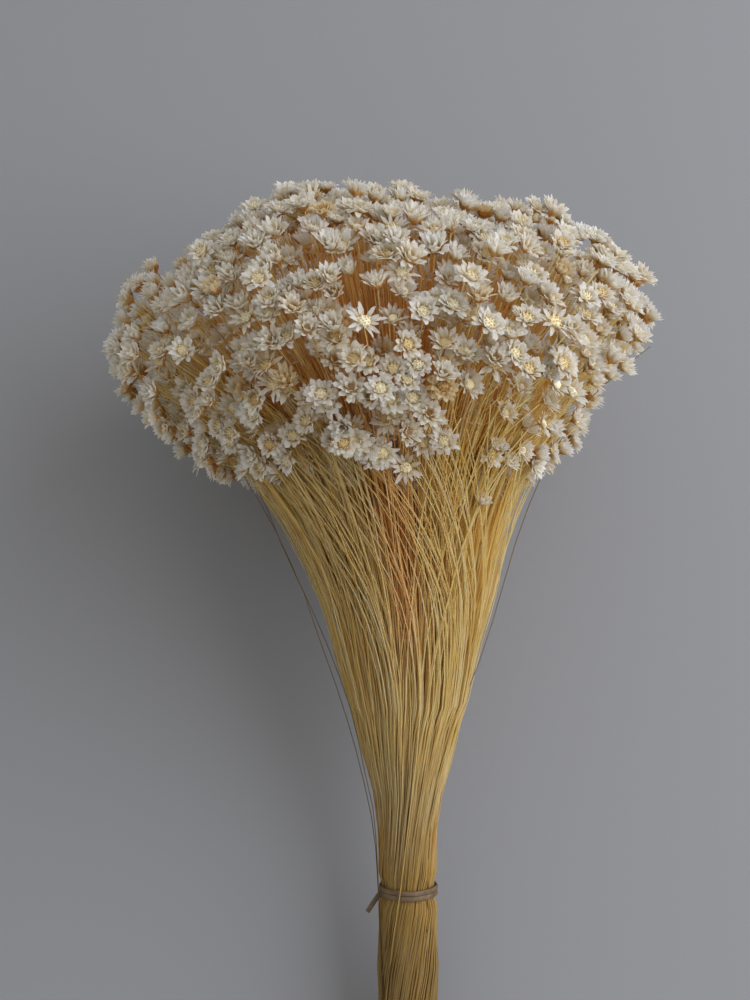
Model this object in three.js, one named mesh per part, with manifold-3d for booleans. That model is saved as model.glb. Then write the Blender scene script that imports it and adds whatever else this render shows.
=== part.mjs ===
// A dried star-flower bunch: a few hundred papery white flower heads on thin straw stems, held by one
// rubber band low on the stems, and laid on its side. Millimetres.
//
// Everything is built in the bunch frame: +Y runs up the bunch's axis from the cut ends to the heads, X is
// across and +Z is its upper side. An azimuth is an angle about that axis, from +X towards +Z.
// In the part's frame +Z is up and the surface is at Z = 0: the bunch lies there on its cut ends and on the
// underside of its heads, so its axis climbs by LIE_TILT.
import * as THREE from "three";
import { mergeVertices } from "three/addons/utils/BufferGeometryUtils.js";
import Module from "manifold-3d";

const wasm = await Module();
wasm.setup();

const radians = THREE.MathUtils.degToRad;

// ---- Driving dimensions, mm and degrees ----

const LIE_TILT = 15; // how steeply the bunch's axis climbs from the cut ends to the heads
const ORIGIN = new THREE.Vector3(10.8, -182.6, 12); // where the bunch frame's origin lies in the part's frame
const PRESSED = 0.4; // depth by which what touches the surface is pressed flat
const LIFTED = 16; // a head that would hang this far below the surface, at most, is pushed up to lie on it

const TIE_Y = 91; // the rubber band's middle, from the cut ends
const SHEAF = [ // outer radius of the gathered stems, by level
  [0, 12.6],
  [TIE_Y - 7, 12.2],
  [TIE_Y - 2.5, 10.3],
  [TIE_Y + 2.5, 10.3],
  [TIE_Y + 7, 12.2],
  [130, 14.5],
  [168, 24.6],
];
const CORE_END = SHEAF.at(-1)[0]; // the sheaf is solid up to this level, and its stems run free above it
const CORE_RIDGES = 8; // stems that stand proud on a handful's side of the core
const CUT_UNEVEN = 4; // how far the cut ends are out of line
const FRAYED = 4; // how far the core's rim is out of line
const ROOT_SPREAD = 19.8; // the free stems leave the core's end within this radius
const ROOT_SLOPE = 0.3; // how steeply the outermost stems spread there
const ROOT_CLEAR = 1; // least distance of a free stem there from its handful's sides
const ROOT_SUNK = 4; // depth in the core of a stem that is joined on
const REACH = { from: 220, widest: 60 }; // a head this far off the axis, in degrees from there, roots outermost
const STEM_RADIUS = 0.42;
const STEM_SIDES = 3;
const BEND = 0.62; // share of a free stem's length at which it bends outwards

const DOME_Y = 319; // level at which the dome of heads is widest
const DOME_RADIUS = 110;
const DOME_ABOVE = 50; // height of the dome above that level
const DOME_BELOW = 70; // depth of the half ellipsoid that the lower heads follow
const LEAN_FROM = 212; // the bunch leans sideways above this level
const LEAN_SLOPE = -0.106;
const SHOULDER = { drop: 0.22, from: -25, to: -70 }; // the dome is lower by this share on its left
const RIM_RADIUS = 60;
const RIM = [ // by azimuth, the heads' lowest level at RIM_RADIUS and its rise outwards: high where it parts
  [0, 258, 1.3],
  [35, 262, 0.9],
  [56, 270, 0.5],
  [73, 282, 0.3],
  [84, 262, 0.4],
  [110, 256, 0.4],
  [180, 256, 0.6],
  [270, 260, 0.5],
  [330, 258, 1],
  [360, 258, 1.3],
];
const LAYERS = [ // heads by depth of their middles under the dome's surface and by height above the rim
  { from: -1, to: 12, below: 26, heads: 128 },
  { from: 0, to: 9, below: Infinity, heads: 150 },
  { from: 9, to: 24, below: Infinity, heads: 56 },
  { from: 24, to: 42, below: Infinity, heads: 8 },
];
const SPARSER = 0.25; // share of the tried places that are kept at the underside, against all on top
const TRIALS = 150000; // places tried for each layer
const HEAD_SPACING = 0.75; // least distance between two heads' middles, as a share of their radii together
const HEAD_CLEAR = 5.4; // least distance of a stem's middle line from the middle of another head
const STEM_CLEAR = 0.88; // least distance between the middle lines of two stems
const SEED = 20240611;

const PETALS = 5;
const PETAL_LENGTH = 5.2;
const CUP = { radius: 2.5, height: 2.8 }; // the petals spring from this cone
const TURN_OUT = 0.64; // a head faces away from the axis by this share of its angle round the dome
const TURN_UNEVEN = 0.3;

const SPRAYS = 7; // the bunch is made as this many wedge-shaped handfuls of flowering stems
const SPRAY_TURN = 82; // azimuth of the first side between two handfuls
const SPRAY_GAP = 0.4; // clear distance between neighbouring handfuls

const BAND = { inner: 10.9, thickness: 1.1, turn: 2, groove: 0.3, sides: 24 };
const BAND_END = { wide: 1, thick: 0.8, azimuth: 192, reach: 4.6, drop: 7.6 };

// ---- Helpers ----

/** Seeded random numbers: each call gives one between a low and a high value. */
function randomSource(seed) {
  let state = seed >>> 0;
  return (low, high) => {
    state = (state + 0x6d2b79f5) >>> 0;
    let t = Math.imul(state ^ (state >>> 15), state | 1);
    t ^= t + Math.imul(t ^ (t >>> 7), t | 61);
    return low + ((high - low) * ((t ^ (t >>> 14)) >>> 0)) / 4294967296;
  };
}

/** Value at a station of a table whose rows start with their stations, straight between the rows. */
function valueAt(table, station, column = 1) {
  const next = table.findIndex(([at]) => station <= at);
  if (next === 0) return table[0][column];
  if (next < 0) return table.at(-1)[column];
  const [before, after] = [table[next - 1], table[next]];
  const share = (station - before[0]) / (after[0] - before[0]);
  return THREE.MathUtils.lerp(before[column], after[column], share);
}

/** Unit vector square to the axis at an azimuth in radians. */
const outwardAt = (azimuth) => new THREE.Vector3(Math.cos(azimuth), 0, Math.sin(azimuth));

/** Azimuth of a point round the straight axis, from 0 to a full turn. */
const azimuthOf = (p) => (Math.atan2(p.z, p.x) + 2 * Math.PI) % (2 * Math.PI);

/** A point moved sideways by the bunch's lean at its level. */
const leaned = (p) => p.clone().setX(p.x + LEAN_SLOPE * Math.max(0, p.y - LEAN_FROM));

/** Height of a point of the bunch frame above the surface. */
function heightOf(p) {
  return p.y * Math.sin(radians(LIE_TILT)) + p.z * Math.cos(radians(LIE_TILT)) + ORIGIN.z;
}

/** A solid from corner points without their lean, and triangles. */
function solidFrom(points, triangles) {
  return new wasm.Manifold(
    new wasm.Mesh({
      numProp: 3,
      vertProperties: new Float32Array(points.flatMap((p) => leaned(p).toArray())),
      triVerts: new Uint32Array(triangles.flat()),
    }),
  );
}

/** A closed three.js geometry as a solid. */
function solidOf(geometry) {
  geometry.deleteAttribute("normal");
  geometry.deleteAttribute("uv");
  const merged = mergeVertices(geometry, 1e-4);
  return new wasm.Manifold(
    new wasm.Mesh({
      numProp: 3,
      vertProperties: new Float32Array(merged.attributes.position.array),
      triVerts: new Uint32Array(merged.index.array),
    }),
  );
}

/** A solid as a named mesh with a dull finish of its own. */
function meshOf(name, solid, { color, roughness }) {
  const { vertProperties, triVerts } = solid.getMesh();
  const geometry = new THREE.BufferGeometry()
    .setAttribute("position", new THREE.BufferAttribute(new Float32Array(vertProperties), 3))
    .setIndex(new THREE.BufferAttribute(new Uint32Array(triVerts), 1));
  const finish = new THREE.MeshStandardMaterial({ color, roughness, metalness: 0 });
  const mesh = new THREE.Mesh(geometry, finish);
  mesh.name = name;
  return mesh;
}

/** Azimuths of the two sides of a handful, in radians. */
const sidesOf = (spray) =>
  [spray, spray + 1].map((side) => radians(SPRAY_TURN) + (side * 2 * Math.PI) / SPRAYS);

/** Number of the handful that an azimuth falls in. */
function sprayAt(azimuth) {
  const turns = (azimuth - radians(SPRAY_TURN)) / (2 * Math.PI);
  return Math.floor((turns - Math.floor(turns)) * SPRAYS);
}

/** The inward normals of the two sides of a handful. */
function normalsOf(spray) {
  const [first, last] = sidesOf(spray);
  return [outwardAt(first + Math.PI / 2), outwardAt(last - Math.PI / 2)];
}

// ---- Where the heads are ----

/** Depth of a point without its lean under the dome's surface, on the ray from the dome's middle. */
function depthOf(p) {
  const up = p.y - DOME_Y;
  const left = THREE.MathUtils.clamp((p.x - SHOULDER.from) / (SHOULDER.to - SHOULDER.from), 0, 1);
  const height = up > 0 ? DOME_ABOVE * (1 - SHOULDER.drop * left) : DOME_BELOW;
  const out = Math.hypot(Math.hypot(p.x, p.z) / DOME_RADIUS, up / height);
  return Math.hypot(p.x, up, p.z) * (1 / out - 1);
}

/** Angle from the axis at which a head at this point faces, before its own uneven turn. */
function turnAt(p) {
  const up = p.y - DOME_Y;
  const round = Math.atan2(Math.hypot(p.x, p.z) / DOME_RADIUS, up / (up > 0 ? DOME_ABOVE : DOME_BELOW));
  return TURN_OUT * round;
}

/**
 * Corners of a head without the lean: its base on the stem, the star of petal tips with the valleys
 * between them, and the middle of its disc.
 */
function headCorners({ middle, axis, spin, size, open }) {
  const flare = radians(24 + 44 * open);
  const tipRadius = CUP.radius + PETAL_LENGTH * size * Math.sin(flare);
  const tipHeight = CUP.height + PETAL_LENGTH * size * Math.cos(flare);
  const across = new THREE.Vector3(0, 0, 1).cross(axis).normalize().applyAxisAngle(axis, spin);
  const along = axis.clone().cross(across);
  const at = (angle, radius, height) =>
    middle
      .clone()
      .addScaledVector(across, radius * Math.cos(angle))
      .addScaledVector(along, radius * Math.sin(angle))
      .addScaledVector(axis, height - 0.5 * tipHeight);
  const star = [];
  for (let petal = 0; petal < PETALS; petal++) {
    const layer = petal % 2 === 0 ? 1.06 : 0.94; // outer petals lie lower and reach further than inner ones
    const angle = (petal * 2 * Math.PI) / PETALS;
    star.push(at(angle, tipRadius * layer, tipHeight / layer));
    star.push(at(angle + Math.PI / PETALS, 0.64 * tipRadius, 0.66 * tipHeight));
  }
  return { base: at(0, 0, 0), star, disc: at(0, 0, 0.5 * tipHeight + 0.7), across, radius: tipRadius };
}

/** A head's stem without the lean: a cubic from the core's end to the head's base. */
function stemCurve({ middle, spray, base, turn }) {
  const [first, last] = sidesOf(spray);
  const offAxis = Math.atan2(Math.hypot(middle.x, middle.z), middle.y - REACH.from);
  const share = Math.min(1, offAxis / radians(REACH.widest));
  const outward = outwardAt(azimuthOf(base));
  const root = outwardAt((first + last) / 2)
    .multiplyScalar(ROOT_CLEAR / Math.sin(Math.PI / SPRAYS))
    .addScaledVector(outward, ROOT_SPREAD * share)
    .setY(CORE_END);
  const handle = root.distanceTo(base) / 3;
  const rootWay = outward.clone().multiplyScalar(ROOT_SLOPE * share).setY(1).normalize();
  const headWay = outward.clone().multiplyScalar(Math.sin(turn)).setY(Math.cos(turn));
  return new THREE.CubicBezierCurve3(
    root,
    root.clone().addScaledVector(rootWay, handle),
    base.clone().addScaledVector(headWay, -handle),
    base,
  );
}

/** Whether two heads and their stems come too close to each other. */
function collide(one, other) {
  const apart = one.middle.distanceTo(other.middle);
  if (apart < HEAD_SPACING * (one.radius + other.radius)) return true;
  const near = new THREE.Vector3();
  const passes = ({ lines }, { middle }) =>
    lines.some((line) => line.closestPointToPoint(middle, true, near).distanceTo(middle) < HEAD_CLEAR);
  if (passes(one, other) || passes(other, one)) return true;
  return one.lines.some((a) => other.lines.some((b) => a.distanceSqToLine3(b) < STEM_CLEAR ** 2));
}

/** Places the heads by seeded trial, the outer layer first. */
function placeHeads() {
  const upward = new THREE.Vector3(0, Math.sin(radians(LIE_TILT)), Math.cos(radians(LIE_TILT)));
  const heads = [];
  LAYERS.forEach((layer, index) => {
    const random = randomSource(SEED + index);
    const wanted = heads.length + layer.heads;
    for (let trial = 0; trial < TRIALS && heads.length < wanted; trial++) {
      const middle = new THREE.Vector3(
        random(-DOME_RADIUS, DOME_RADIUS),
        random(DOME_Y - DOME_BELOW, DOME_Y + DOME_ABOVE),
        random(-DOME_RADIUS, DOME_RADIUS),
      );
      const uneven = new THREE.Vector3(random(-1, 1), random(-1, 1), random(-1, 1));
      const head = { middle, size: random(0.85, 1.15), open: random(0, 1), spin: random(0, Math.PI) };
      if (random(0, 1) > THREE.MathUtils.mapLinear(middle.z, -DOME_RADIUS, DOME_RADIUS, SPARSER, 1)) continue;
      const depth = depthOf(middle);
      if (depth < layer.from || depth > layer.to) continue;
      const azimuth = THREE.MathUtils.radToDeg(azimuthOf(middle));
      const beyondRim = Math.hypot(middle.x, middle.z) - RIM_RADIUS;
      const above = middle.y - valueAt(RIM, azimuth) - valueAt(RIM, azimuth, 2) * beyondRim;
      if (above < 0 || above > layer.below) continue;
      head.turn = turnAt(middle);
      head.axis = outwardAt(azimuthOf(middle))
        .multiplyScalar(Math.sin(head.turn))
        .setY(Math.cos(head.turn))
        .addScaledVector(uneven, TURN_UNEVEN)
        .normalize();
      const lowest = Math.min(...headCorners(head).star.map(heightOf));
      if (lowest < -LIFTED) continue;
      middle.addScaledVector(upward, Math.max(0, -PRESSED - lowest));
      head.spray = sprayAt(azimuthOf(middle));
      const outsideOf = (normal) => {
        const { star, base } = headCorners(head);
        const inside = Math.min(base.dot(normal) - STEM_RADIUS, ...star.map((p) => p.dot(normal)));
        return Math.max(0, SPRAY_GAP / 2 - inside);
      };
      for (const normal of normalsOf(head.spray)) middle.addScaledVector(normal, outsideOf(normal));
      if (normalsOf(head.spray).some((normal) => outsideOf(normal) > 1e-6)) continue;
      Object.assign(head, headCorners(head));
      head.curve = stemCurve(head);
      const bend = head.curve.getPoint(BEND);
      head.lines = [new THREE.Line3(head.curve.v0, bend), new THREE.Line3(bend, head.base)];
      if (heads.some((other) => collide(head, other))) continue;
      heads.push(head);
    }
  });
  return heads;
}

// ---- Flowering stems ----

/** Corners of a stem's section at a point of its middle line, in a plane with the given normal. */
function stemRing(point, way, across, normal) {
  const u = across.clone().addScaledVector(way, -across.dot(way)).normalize();
  const v = way.clone().cross(u);
  return Array.from({ length: STEM_SIDES }, (_, side) => {
    const angle = ((2 * side + 1) * Math.PI) / STEM_SIDES;
    const offset = u.clone().multiplyScalar(Math.cos(angle)).addScaledVector(v, Math.sin(angle));
    offset.addScaledVector(way, -offset.dot(normal) / way.dot(normal));
    return point.clone().addScaledVector(offset, STEM_RADIUS);
  });
}

/** Adds a stem and its head to a mesh, from a foot ring at the given point; gives that ring's first index. */
function addFloweringStem({ points, triangles }, { curve, star, disc, axis, across }, foot) {
  const up = new THREE.Vector3(0, 1, 0);
  const bendWay = curve.getTangent(BEND);
  const bottom = points.length;
  points.push(
    ...stemRing(foot, curve.getTangent(0), across, up),
    ...stemRing(curve.getPoint(BEND), bendWay, across, bendWay),
    ...stemRing(curve.v3, axis, across, axis),
    ...star,
    disc,
  );
  const neck = bottom + 2 * STEM_SIDES;
  for (let ring = bottom; ring < neck; ring += STEM_SIDES) {
    for (let side = 0; side < STEM_SIDES; side++) {
      const [a, b] = [ring + side, ring + ((side + 1) % STEM_SIDES)];
      triangles.push([a, b, b + STEM_SIDES], [a, b + STEM_SIDES, a + STEM_SIDES]);
    }
  }
  const first = neck + STEM_SIDES;
  const middle = first + star.length;
  const sideOf = (k) => Math.floor((k * STEM_SIDES) / star.length);
  star.forEach((_, k) => {
    const [a, b] = [first + k, first + ((k + 1) % star.length)];
    const [side, next] = [sideOf(k), sideOf((k + 1) % star.length)];
    triangles.push([neck + side, b, a], [a, b, middle]);
    if (next !== side) triangles.push([neck + side, neck + next, b]);
  });
  return bottom;
}

/** One flowering stem as a solid of its own, its root sunk in the core. */
function floweringStem(head) {
  const mesh = { points: [], triangles: [[2, 1, 0]] };
  const sunk = head.curve.v0.clone().addScaledVector(head.curve.getTangent(0), -ROOT_SUNK);
  addFloweringStem(mesh, head, sunk);
  return solidFrom(mesh.points, mesh.triangles);
}

// ---- A handful ----

/** Adds a handful's wedge of the core, its outer face ridged by the stems; gives its open end's corners. */
function addCore({ points, triangles }, spray) {
  const random = randomSource(SEED - 1 - spray);
  const [first, last] = sidesOf(spray);
  const corners = 2 * CORE_RIDGES + 1;
  const ring = corners + 1;
  for (const [y, radius] of SHEAF) {
    const edge = Math.asin(SPRAY_GAP / 2 / (radius - 1));
    const inner = outwardAt((first + last) / 2);
    points.push(inner.multiplyScalar(SPRAY_GAP / 2 / Math.sin(Math.PI / SPRAYS)).setY(y));
    for (let j = 0; j < corners; j++) {
      const azimuth = THREE.MathUtils.lerp(first + edge, last - edge, j / (corners - 1));
      const proud = j % 2 === 1 ? 0.2 : -0.2 - 0.03 * radius;
      const cut = y === 0 ? random(0, CUT_UNEVEN) : 0;
      const frayed = y === CORE_END ? random(0, 0.5) + 0.5 * ((j + 1) % 2) : 0;
      points.push(outwardAt(azimuth).multiplyScalar(radius + proud).setY(y + cut - FRAYED * frayed));
    }
  }
  for (let level = 0; level + 1 < SHEAF.length; level++) {
    for (let j = 0; j < ring; j++) {
      const a = level * ring + j;
      const b = level * ring + ((j + 1) % ring);
      triangles.push([a, b + ring, b], [a, a + ring, b + ring]);
    }
  }
  for (let j = 1; j < corners; j++) triangles.push([0, j, j + 1]);
  return Array.from({ length: ring }, (_, j) => (SHEAF.length - 1) * ring + j);
}

/** Closes the core's end between its corners and the feet of the stems that grow from it. */
function addEnd({ points, triangles }, outline, feet) {
  const flat = (indices) => indices.map((i) => new THREE.Vector2(points[i].x, points[i].z));
  const order = [...outline, ...feet.flat()];
  for (const face of THREE.ShapeUtils.triangulateShape(flat(outline), feet.map(flat))) {
    const [a, b, c] = face.map((i) => order[i]);
    const turnsUp = THREE.ShapeUtils.area(flat([a, b, c])) < 0;
    triangles.push(turnsUp ? [a, b, c] : [a, c, b]);
  }
}

/** A handful as one solid: stems grow from its core's end, and those that touch a neighbour are joined on. */
function handful(spray, heads) {
  const growing = [];
  const touching = [];
  for (const head of heads) {
    const solid = floweringStem(head);
    const free = growing.every((other) => solid.intersect(other.solid).isEmpty());
    (free ? growing : touching).push({ head, solid });
  }
  const mesh = { points: [], triangles: [] };
  const outline = addCore(mesh, spray);
  const feet = growing.map(({ head }) => {
    const bottom = addFloweringStem(mesh, head, head.curve.v0);
    return Array.from({ length: STEM_SIDES }, (_, side) => bottom + side);
  });
  addEnd(mesh, outline, feet);
  return touching.reduce((joined, { solid }) => joined.add(solid), solidFrom(mesh.points, mesh.triangles));
}

/** What lies under the surface, as a slab in the bunch frame. */
function belowSurface() {
  const depth = 60;
  const slab = new THREE.BoxGeometry(600, 900, depth).translate(0, 0, -depth / 2);
  const placed = new THREE.Matrix4().makeRotationX(radians(LIE_TILT)).setPosition(ORIGIN);
  return solidOf(slab.applyMatrix4(placed.invert()));
}

// ---- The rubber band ----

/** Two turns of a rubber band side by side, with the end of its loop poking out on one side. */
function rubberBand() {
  const { inner, thickness, turn, groove, sides } = BAND;
  const outer = inner + thickness;
  const profile = [
    [inner, -turn],
    [outer, -turn],
    [outer, -groove / 2],
    [outer - groove, 0],
    [outer, groove / 2],
    [outer, turn],
    [inner, turn],
    [inner, -turn],
  ].map(([r, y]) => new THREE.Vector2(r, y));
  const ring = new THREE.LatheGeometry(profile, sides).translate(0, TIE_Y, 0);
  const outward = outwardAt(radians(BAND_END.azimuth));
  const along = (radius, below) => outward.clone().multiplyScalar(radius).setY(TIE_Y - below);
  const route = new THREE.CatmullRomCurve3([
    along(outer - 0.5 * thickness, 0),
    along(outer + 0.2 * BAND_END.reach, 0.2 * BAND_END.drop),
    along(outer + 0.65 * BAND_END.reach, 0.58 * BAND_END.drop),
    along(outer + BAND_END.reach, BAND_END.drop),
  ]);
  const section = new THREE.Shape().absellipse(0, 0, BAND_END.wide, BAND_END.thick, 0, 2 * Math.PI);
  const end = new THREE.ExtrudeGeometry(section, { extrudePath: route, steps: 4, curveSegments: 3 });
  return solidOf(ring).add(solidOf(end));
}

// ---- The bunch ----

const driedFlower = { color: 0xe9e0cb, roughness: 0.8 };
const naturalRubber = { color: 0x8d6f4c, roughness: 0.6 };

const bunch = new THREE.Group();
bunch.rotation.x = radians(LIE_TILT);
bunch.position.copy(ORIGIN);

const heads = placeHeads();
const below = belowSurface();
for (let spray = 0; spray < SPRAYS; spray++) {
  const solid = handful(spray, heads.filter((head) => head.spray === spray));
  bunch.add(meshOf(`flower_spray_${spray + 1}`, solid.subtract(below), driedFlower));
}
bunch.add(meshOf("rubber_band", rubberBand(), naturalRubber));

const part = new THREE.Group();
part.add(bunch);

export default part;
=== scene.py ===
"""Dried star-flower bunch: papery everlasting heads on thin straw stems, tied with a rubber band.

The bunch lies on its side on the surface z = 0. Its pieces are worked out in the bunch frame, in
millimetres: +Y runs up the bunch's axis from the cut ends to the heads, X is across and +Z is its upper
side. An azimuth is an angle about that axis, from +X towards +Z. Bunch.placed() carries points over to the
part's frame in metres.
"""

from __future__ import annotations

import logging
import math
from dataclasses import dataclass, field, replace
from enum import Enum
from typing import Any, ClassVar

import bpy
import numpy as np
from mathutils import Matrix, Vector

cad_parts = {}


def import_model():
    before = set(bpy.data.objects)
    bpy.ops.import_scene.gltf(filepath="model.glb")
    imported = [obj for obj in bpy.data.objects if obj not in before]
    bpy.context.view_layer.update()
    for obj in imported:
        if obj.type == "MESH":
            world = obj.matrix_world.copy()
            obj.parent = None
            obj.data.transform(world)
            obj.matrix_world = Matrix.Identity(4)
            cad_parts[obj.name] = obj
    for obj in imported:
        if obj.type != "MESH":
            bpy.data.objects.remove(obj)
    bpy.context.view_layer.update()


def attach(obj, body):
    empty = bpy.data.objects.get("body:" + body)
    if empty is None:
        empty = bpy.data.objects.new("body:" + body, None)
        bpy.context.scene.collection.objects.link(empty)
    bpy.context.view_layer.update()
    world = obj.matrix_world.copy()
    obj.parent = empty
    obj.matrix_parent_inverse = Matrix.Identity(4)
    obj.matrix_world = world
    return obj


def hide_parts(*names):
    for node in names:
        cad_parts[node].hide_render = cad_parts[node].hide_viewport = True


log = logging.getLogger("bunch")

MM = 0.001
UP = np.array([0.0, 1.0, 0.0])

# A colour ramp's places and sRGB colours
Stops = tuple[tuple[float, str], ...]

# How one colour tints another
TINT = {"data_type": "RGBA", "blend_type": "MULTIPLY"}


# ---- Small tools for arrays ----


def dot(a: np.ndarray, b: np.ndarray) -> np.ndarray:
    """Dot products along the last axis."""
    return np.sum(a * b, axis=-1)


def unit(a: np.ndarray) -> np.ndarray:
    """Vectors scaled to length one along the last axis."""
    return a / np.linalg.norm(a, axis=-1, keepdims=True)


def times(vectors: np.ndarray, factors: np.ndarray | float) -> np.ndarray:
    """Vectors scaled by one factor each."""
    return vectors * np.asarray(factors)[..., None]


def outward_at(azimuth: np.ndarray) -> np.ndarray:
    """Unit vectors square to the axis at azimuths in radians."""
    return np.stack([np.cos(azimuth), np.zeros_like(azimuth), np.sin(azimuth)], axis=-1)


def azimuth_of(points: np.ndarray) -> np.ndarray:
    """Azimuths of points round the straight axis, from 0 to a full turn."""
    return np.arctan2(points[..., 2], points[..., 0]) % (2 * math.pi)


def off_axis(points: np.ndarray) -> np.ndarray:
    """Distances of points from the straight axis."""
    return np.hypot(points[..., 0], points[..., 2])


def draws(seed: int, rows: int, columns: int) -> np.ndarray:
    """Seeded random numbers from 0 to 1.

    Each is a hash of seed + n * 0x6d2b79f5, n counted along the rows, so a table of any size repeats the
    same numbers one after another.

    Args:
        seed: The source's start.
        rows: Number of rows.
        columns: Numbers in a row.

    Returns:
        An array of rows by columns.
    """
    low_bits = np.uint64(0xFFFFFFFF)
    count = np.arange(1, rows * columns + 1, dtype=np.uint64)
    state = (np.uint64(seed) + count * np.uint64(0x6D2B79F5)) & low_bits
    mixed = ((state ^ (state >> np.uint64(15))) * (state | np.uint64(1))) & low_bits
    again = ((mixed ^ (mixed >> np.uint64(7))) * (mixed | np.uint64(61))) & low_bits
    mixed = mixed ^ ((mixed + again) & low_bits)
    mixed = mixed ^ (mixed >> np.uint64(14))
    return (mixed / 2.0**32).reshape(rows, columns)


def segment_distance(a: np.ndarray, b: np.ndarray, c: np.ndarray, d: np.ndarray) -> np.ndarray:
    """Least distances between segments a-b and c-d.

    The nearest point on the first segment is found from the two lines, held to its ends, then the nearest
    point on the second, held to its ends, and the first is found again for that.

    Args:
        a: Starts of the first segments.
        b: Their ends.
        c: Starts of the second segments.
        d: Their ends.

    Returns:
        One distance for each pair.
    """
    along, other, between = b - a, d - c, a - c
    aa, bb, ab = dot(along, along), dot(other, other), dot(along, other)
    af, bf = dot(along, between), dot(other, between)
    denominator = aa * bb - ab * ab
    s = np.clip((ab * bf - af * bb) / np.where(denominator > 0, denominator, 1), 0, 1)
    t = np.clip((ab * s + bf) / bb, 0, 1)
    s = np.clip((ab * t - af) / aa, 0, 1)
    return np.linalg.norm(a + times(along, s) - c - times(other, t), axis=-1)


def point_distance(point: np.ndarray, a: np.ndarray, b: np.ndarray) -> np.ndarray:
    """Distances of points from segments a-b.

    Args:
        point: The points.
        a: Starts of the segments.
        b: Their ends.

    Returns:
        One distance for each pair.
    """
    along = b - a
    t = np.clip(dot(point - a, along) / dot(along, along), 0, 1)
    return np.linalg.norm(a + times(along, t) - point, axis=-1)


# ---- The bunch's form ----


@dataclass(frozen=True)
class HeadLayer:
    """Heads placed together: how deep under the dome and high above the rim, in mm, and their number."""

    start: float
    end: float
    below: float
    heads: int


@dataclass(frozen=True)
class Bunch:
    """Shape of the whole bunch, in mm and degrees: the sheaf of stems and the dome of heads over it.

    The stems are gathered up to core_end and spread freely above it. Tips may be pressed on the surface as
    deep as pressed, and heads that would reach deeper are lifted by no more than lifted. The whole leans
    sideways by lean_slope above lean_from. The rim fields give the level under which no head stands, by
    azimuth, at rim_radius from the axis, and how fast it rises outwards from there.
    """

    tilt: float = 15
    origin: tuple[float, float, float] = (10.8, -182.6, 12)
    pressed: float = 0.4
    lifted: float = 16
    tie_y: float = 91
    core_end: float = 168
    dome_y: float = 319
    dome_radius: float = 110
    dome_above: float = 50
    dome_below: float = 70
    lean_from: float = 212
    lean_slope: float = -0.106
    shoulder_drop: float = 0.22
    shoulder_x: tuple[float, float] = (-25, -70)
    rim_radius: float = 60
    rim_azimuth: tuple[float, ...] = (0, 35, 56, 73, 84, 110, 180, 270, 330, 360)
    rim_level: tuple[float, ...] = (258, 262, 270, 282, 262, 256, 256, 260, 258, 258)
    rim_rise: tuple[float, ...] = (1.3, 0.9, 0.5, 0.3, 0.4, 0.4, 0.6, 0.5, 1, 1.3)

    def leaned(self, points: np.ndarray) -> np.ndarray:
        """Points moved sideways by the bunch's lean: x + slope * (y - start), above the start.

        Args:
            points: Points of the bunch frame.

        Returns:
            The moved points.
        """
        moved = points.copy()
        moved[..., 0] += self.lean_slope * np.maximum(0, points[..., 1] - self.lean_from)
        return moved

    def placed(self, points: np.ndarray) -> np.ndarray:
        """Points carried over to the part's frame: leaned, turned about X by the tilt and moved.

        Args:
            points: Points of the bunch frame, in mm.

        Returns:
            The same points in the part's frame, in metres.
        """
        cos, sin = math.cos(math.radians(self.tilt)), math.sin(math.radians(self.tilt))
        x, y, z = np.moveaxis(self.leaned(points), -1, 0)
        turned = np.stack([x, y * cos - z * sin, y * sin + z * cos], axis=-1)
        return (turned + np.array(self.origin)) * MM

    def height(self, points: np.ndarray) -> np.ndarray:
        """Heights of points above the surface, in mm."""
        cos, sin = math.cos(math.radians(self.tilt)), math.sin(math.radians(self.tilt))
        return points[..., 1] * sin + points[..., 2] * cos + self.origin[2]

    def depth(self, points: np.ndarray) -> np.ndarray:
        """Depths of points under the dome, on the ray from its middle.

        The dome is two half ellipsoids of one radius, dome_above high over its widest level and dome_below
        deep under it; the upper one is lower by shoulder_drop on the left.

        Args:
            points: Points of the bunch frame.

        Returns:
            Their depths in mm, negative outside the dome.
        """
        up = points[..., 1] - self.dome_y
        start, end = self.shoulder_x
        left = np.clip((points[..., 0] - start) / (end - start), 0, 1)
        height = np.where(up > 0, self.dome_above * (1 - self.shoulder_drop * left), self.dome_below)
        radius = off_axis(points)
        out = np.hypot(radius / self.dome_radius, up / height)
        return np.sqrt(points[..., 0] ** 2 + up**2 + points[..., 2] ** 2) * (1 / out - 1)

    def above_rim(self, points: np.ndarray) -> np.ndarray:
        """Heights of points above the dome's lower rim: y - level - rise * (radius - rim_radius).

        Args:
            points: Points of the bunch frame.

        Returns:
            Their heights in mm, negative under the rim.
        """
        azimuth = np.degrees(azimuth_of(points))
        level = np.interp(azimuth, self.rim_azimuth, self.rim_level)
        rise = np.interp(azimuth, self.rim_azimuth, self.rim_rise)
        return points[..., 1] - level - rise * (off_axis(points) - self.rim_radius)


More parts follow.
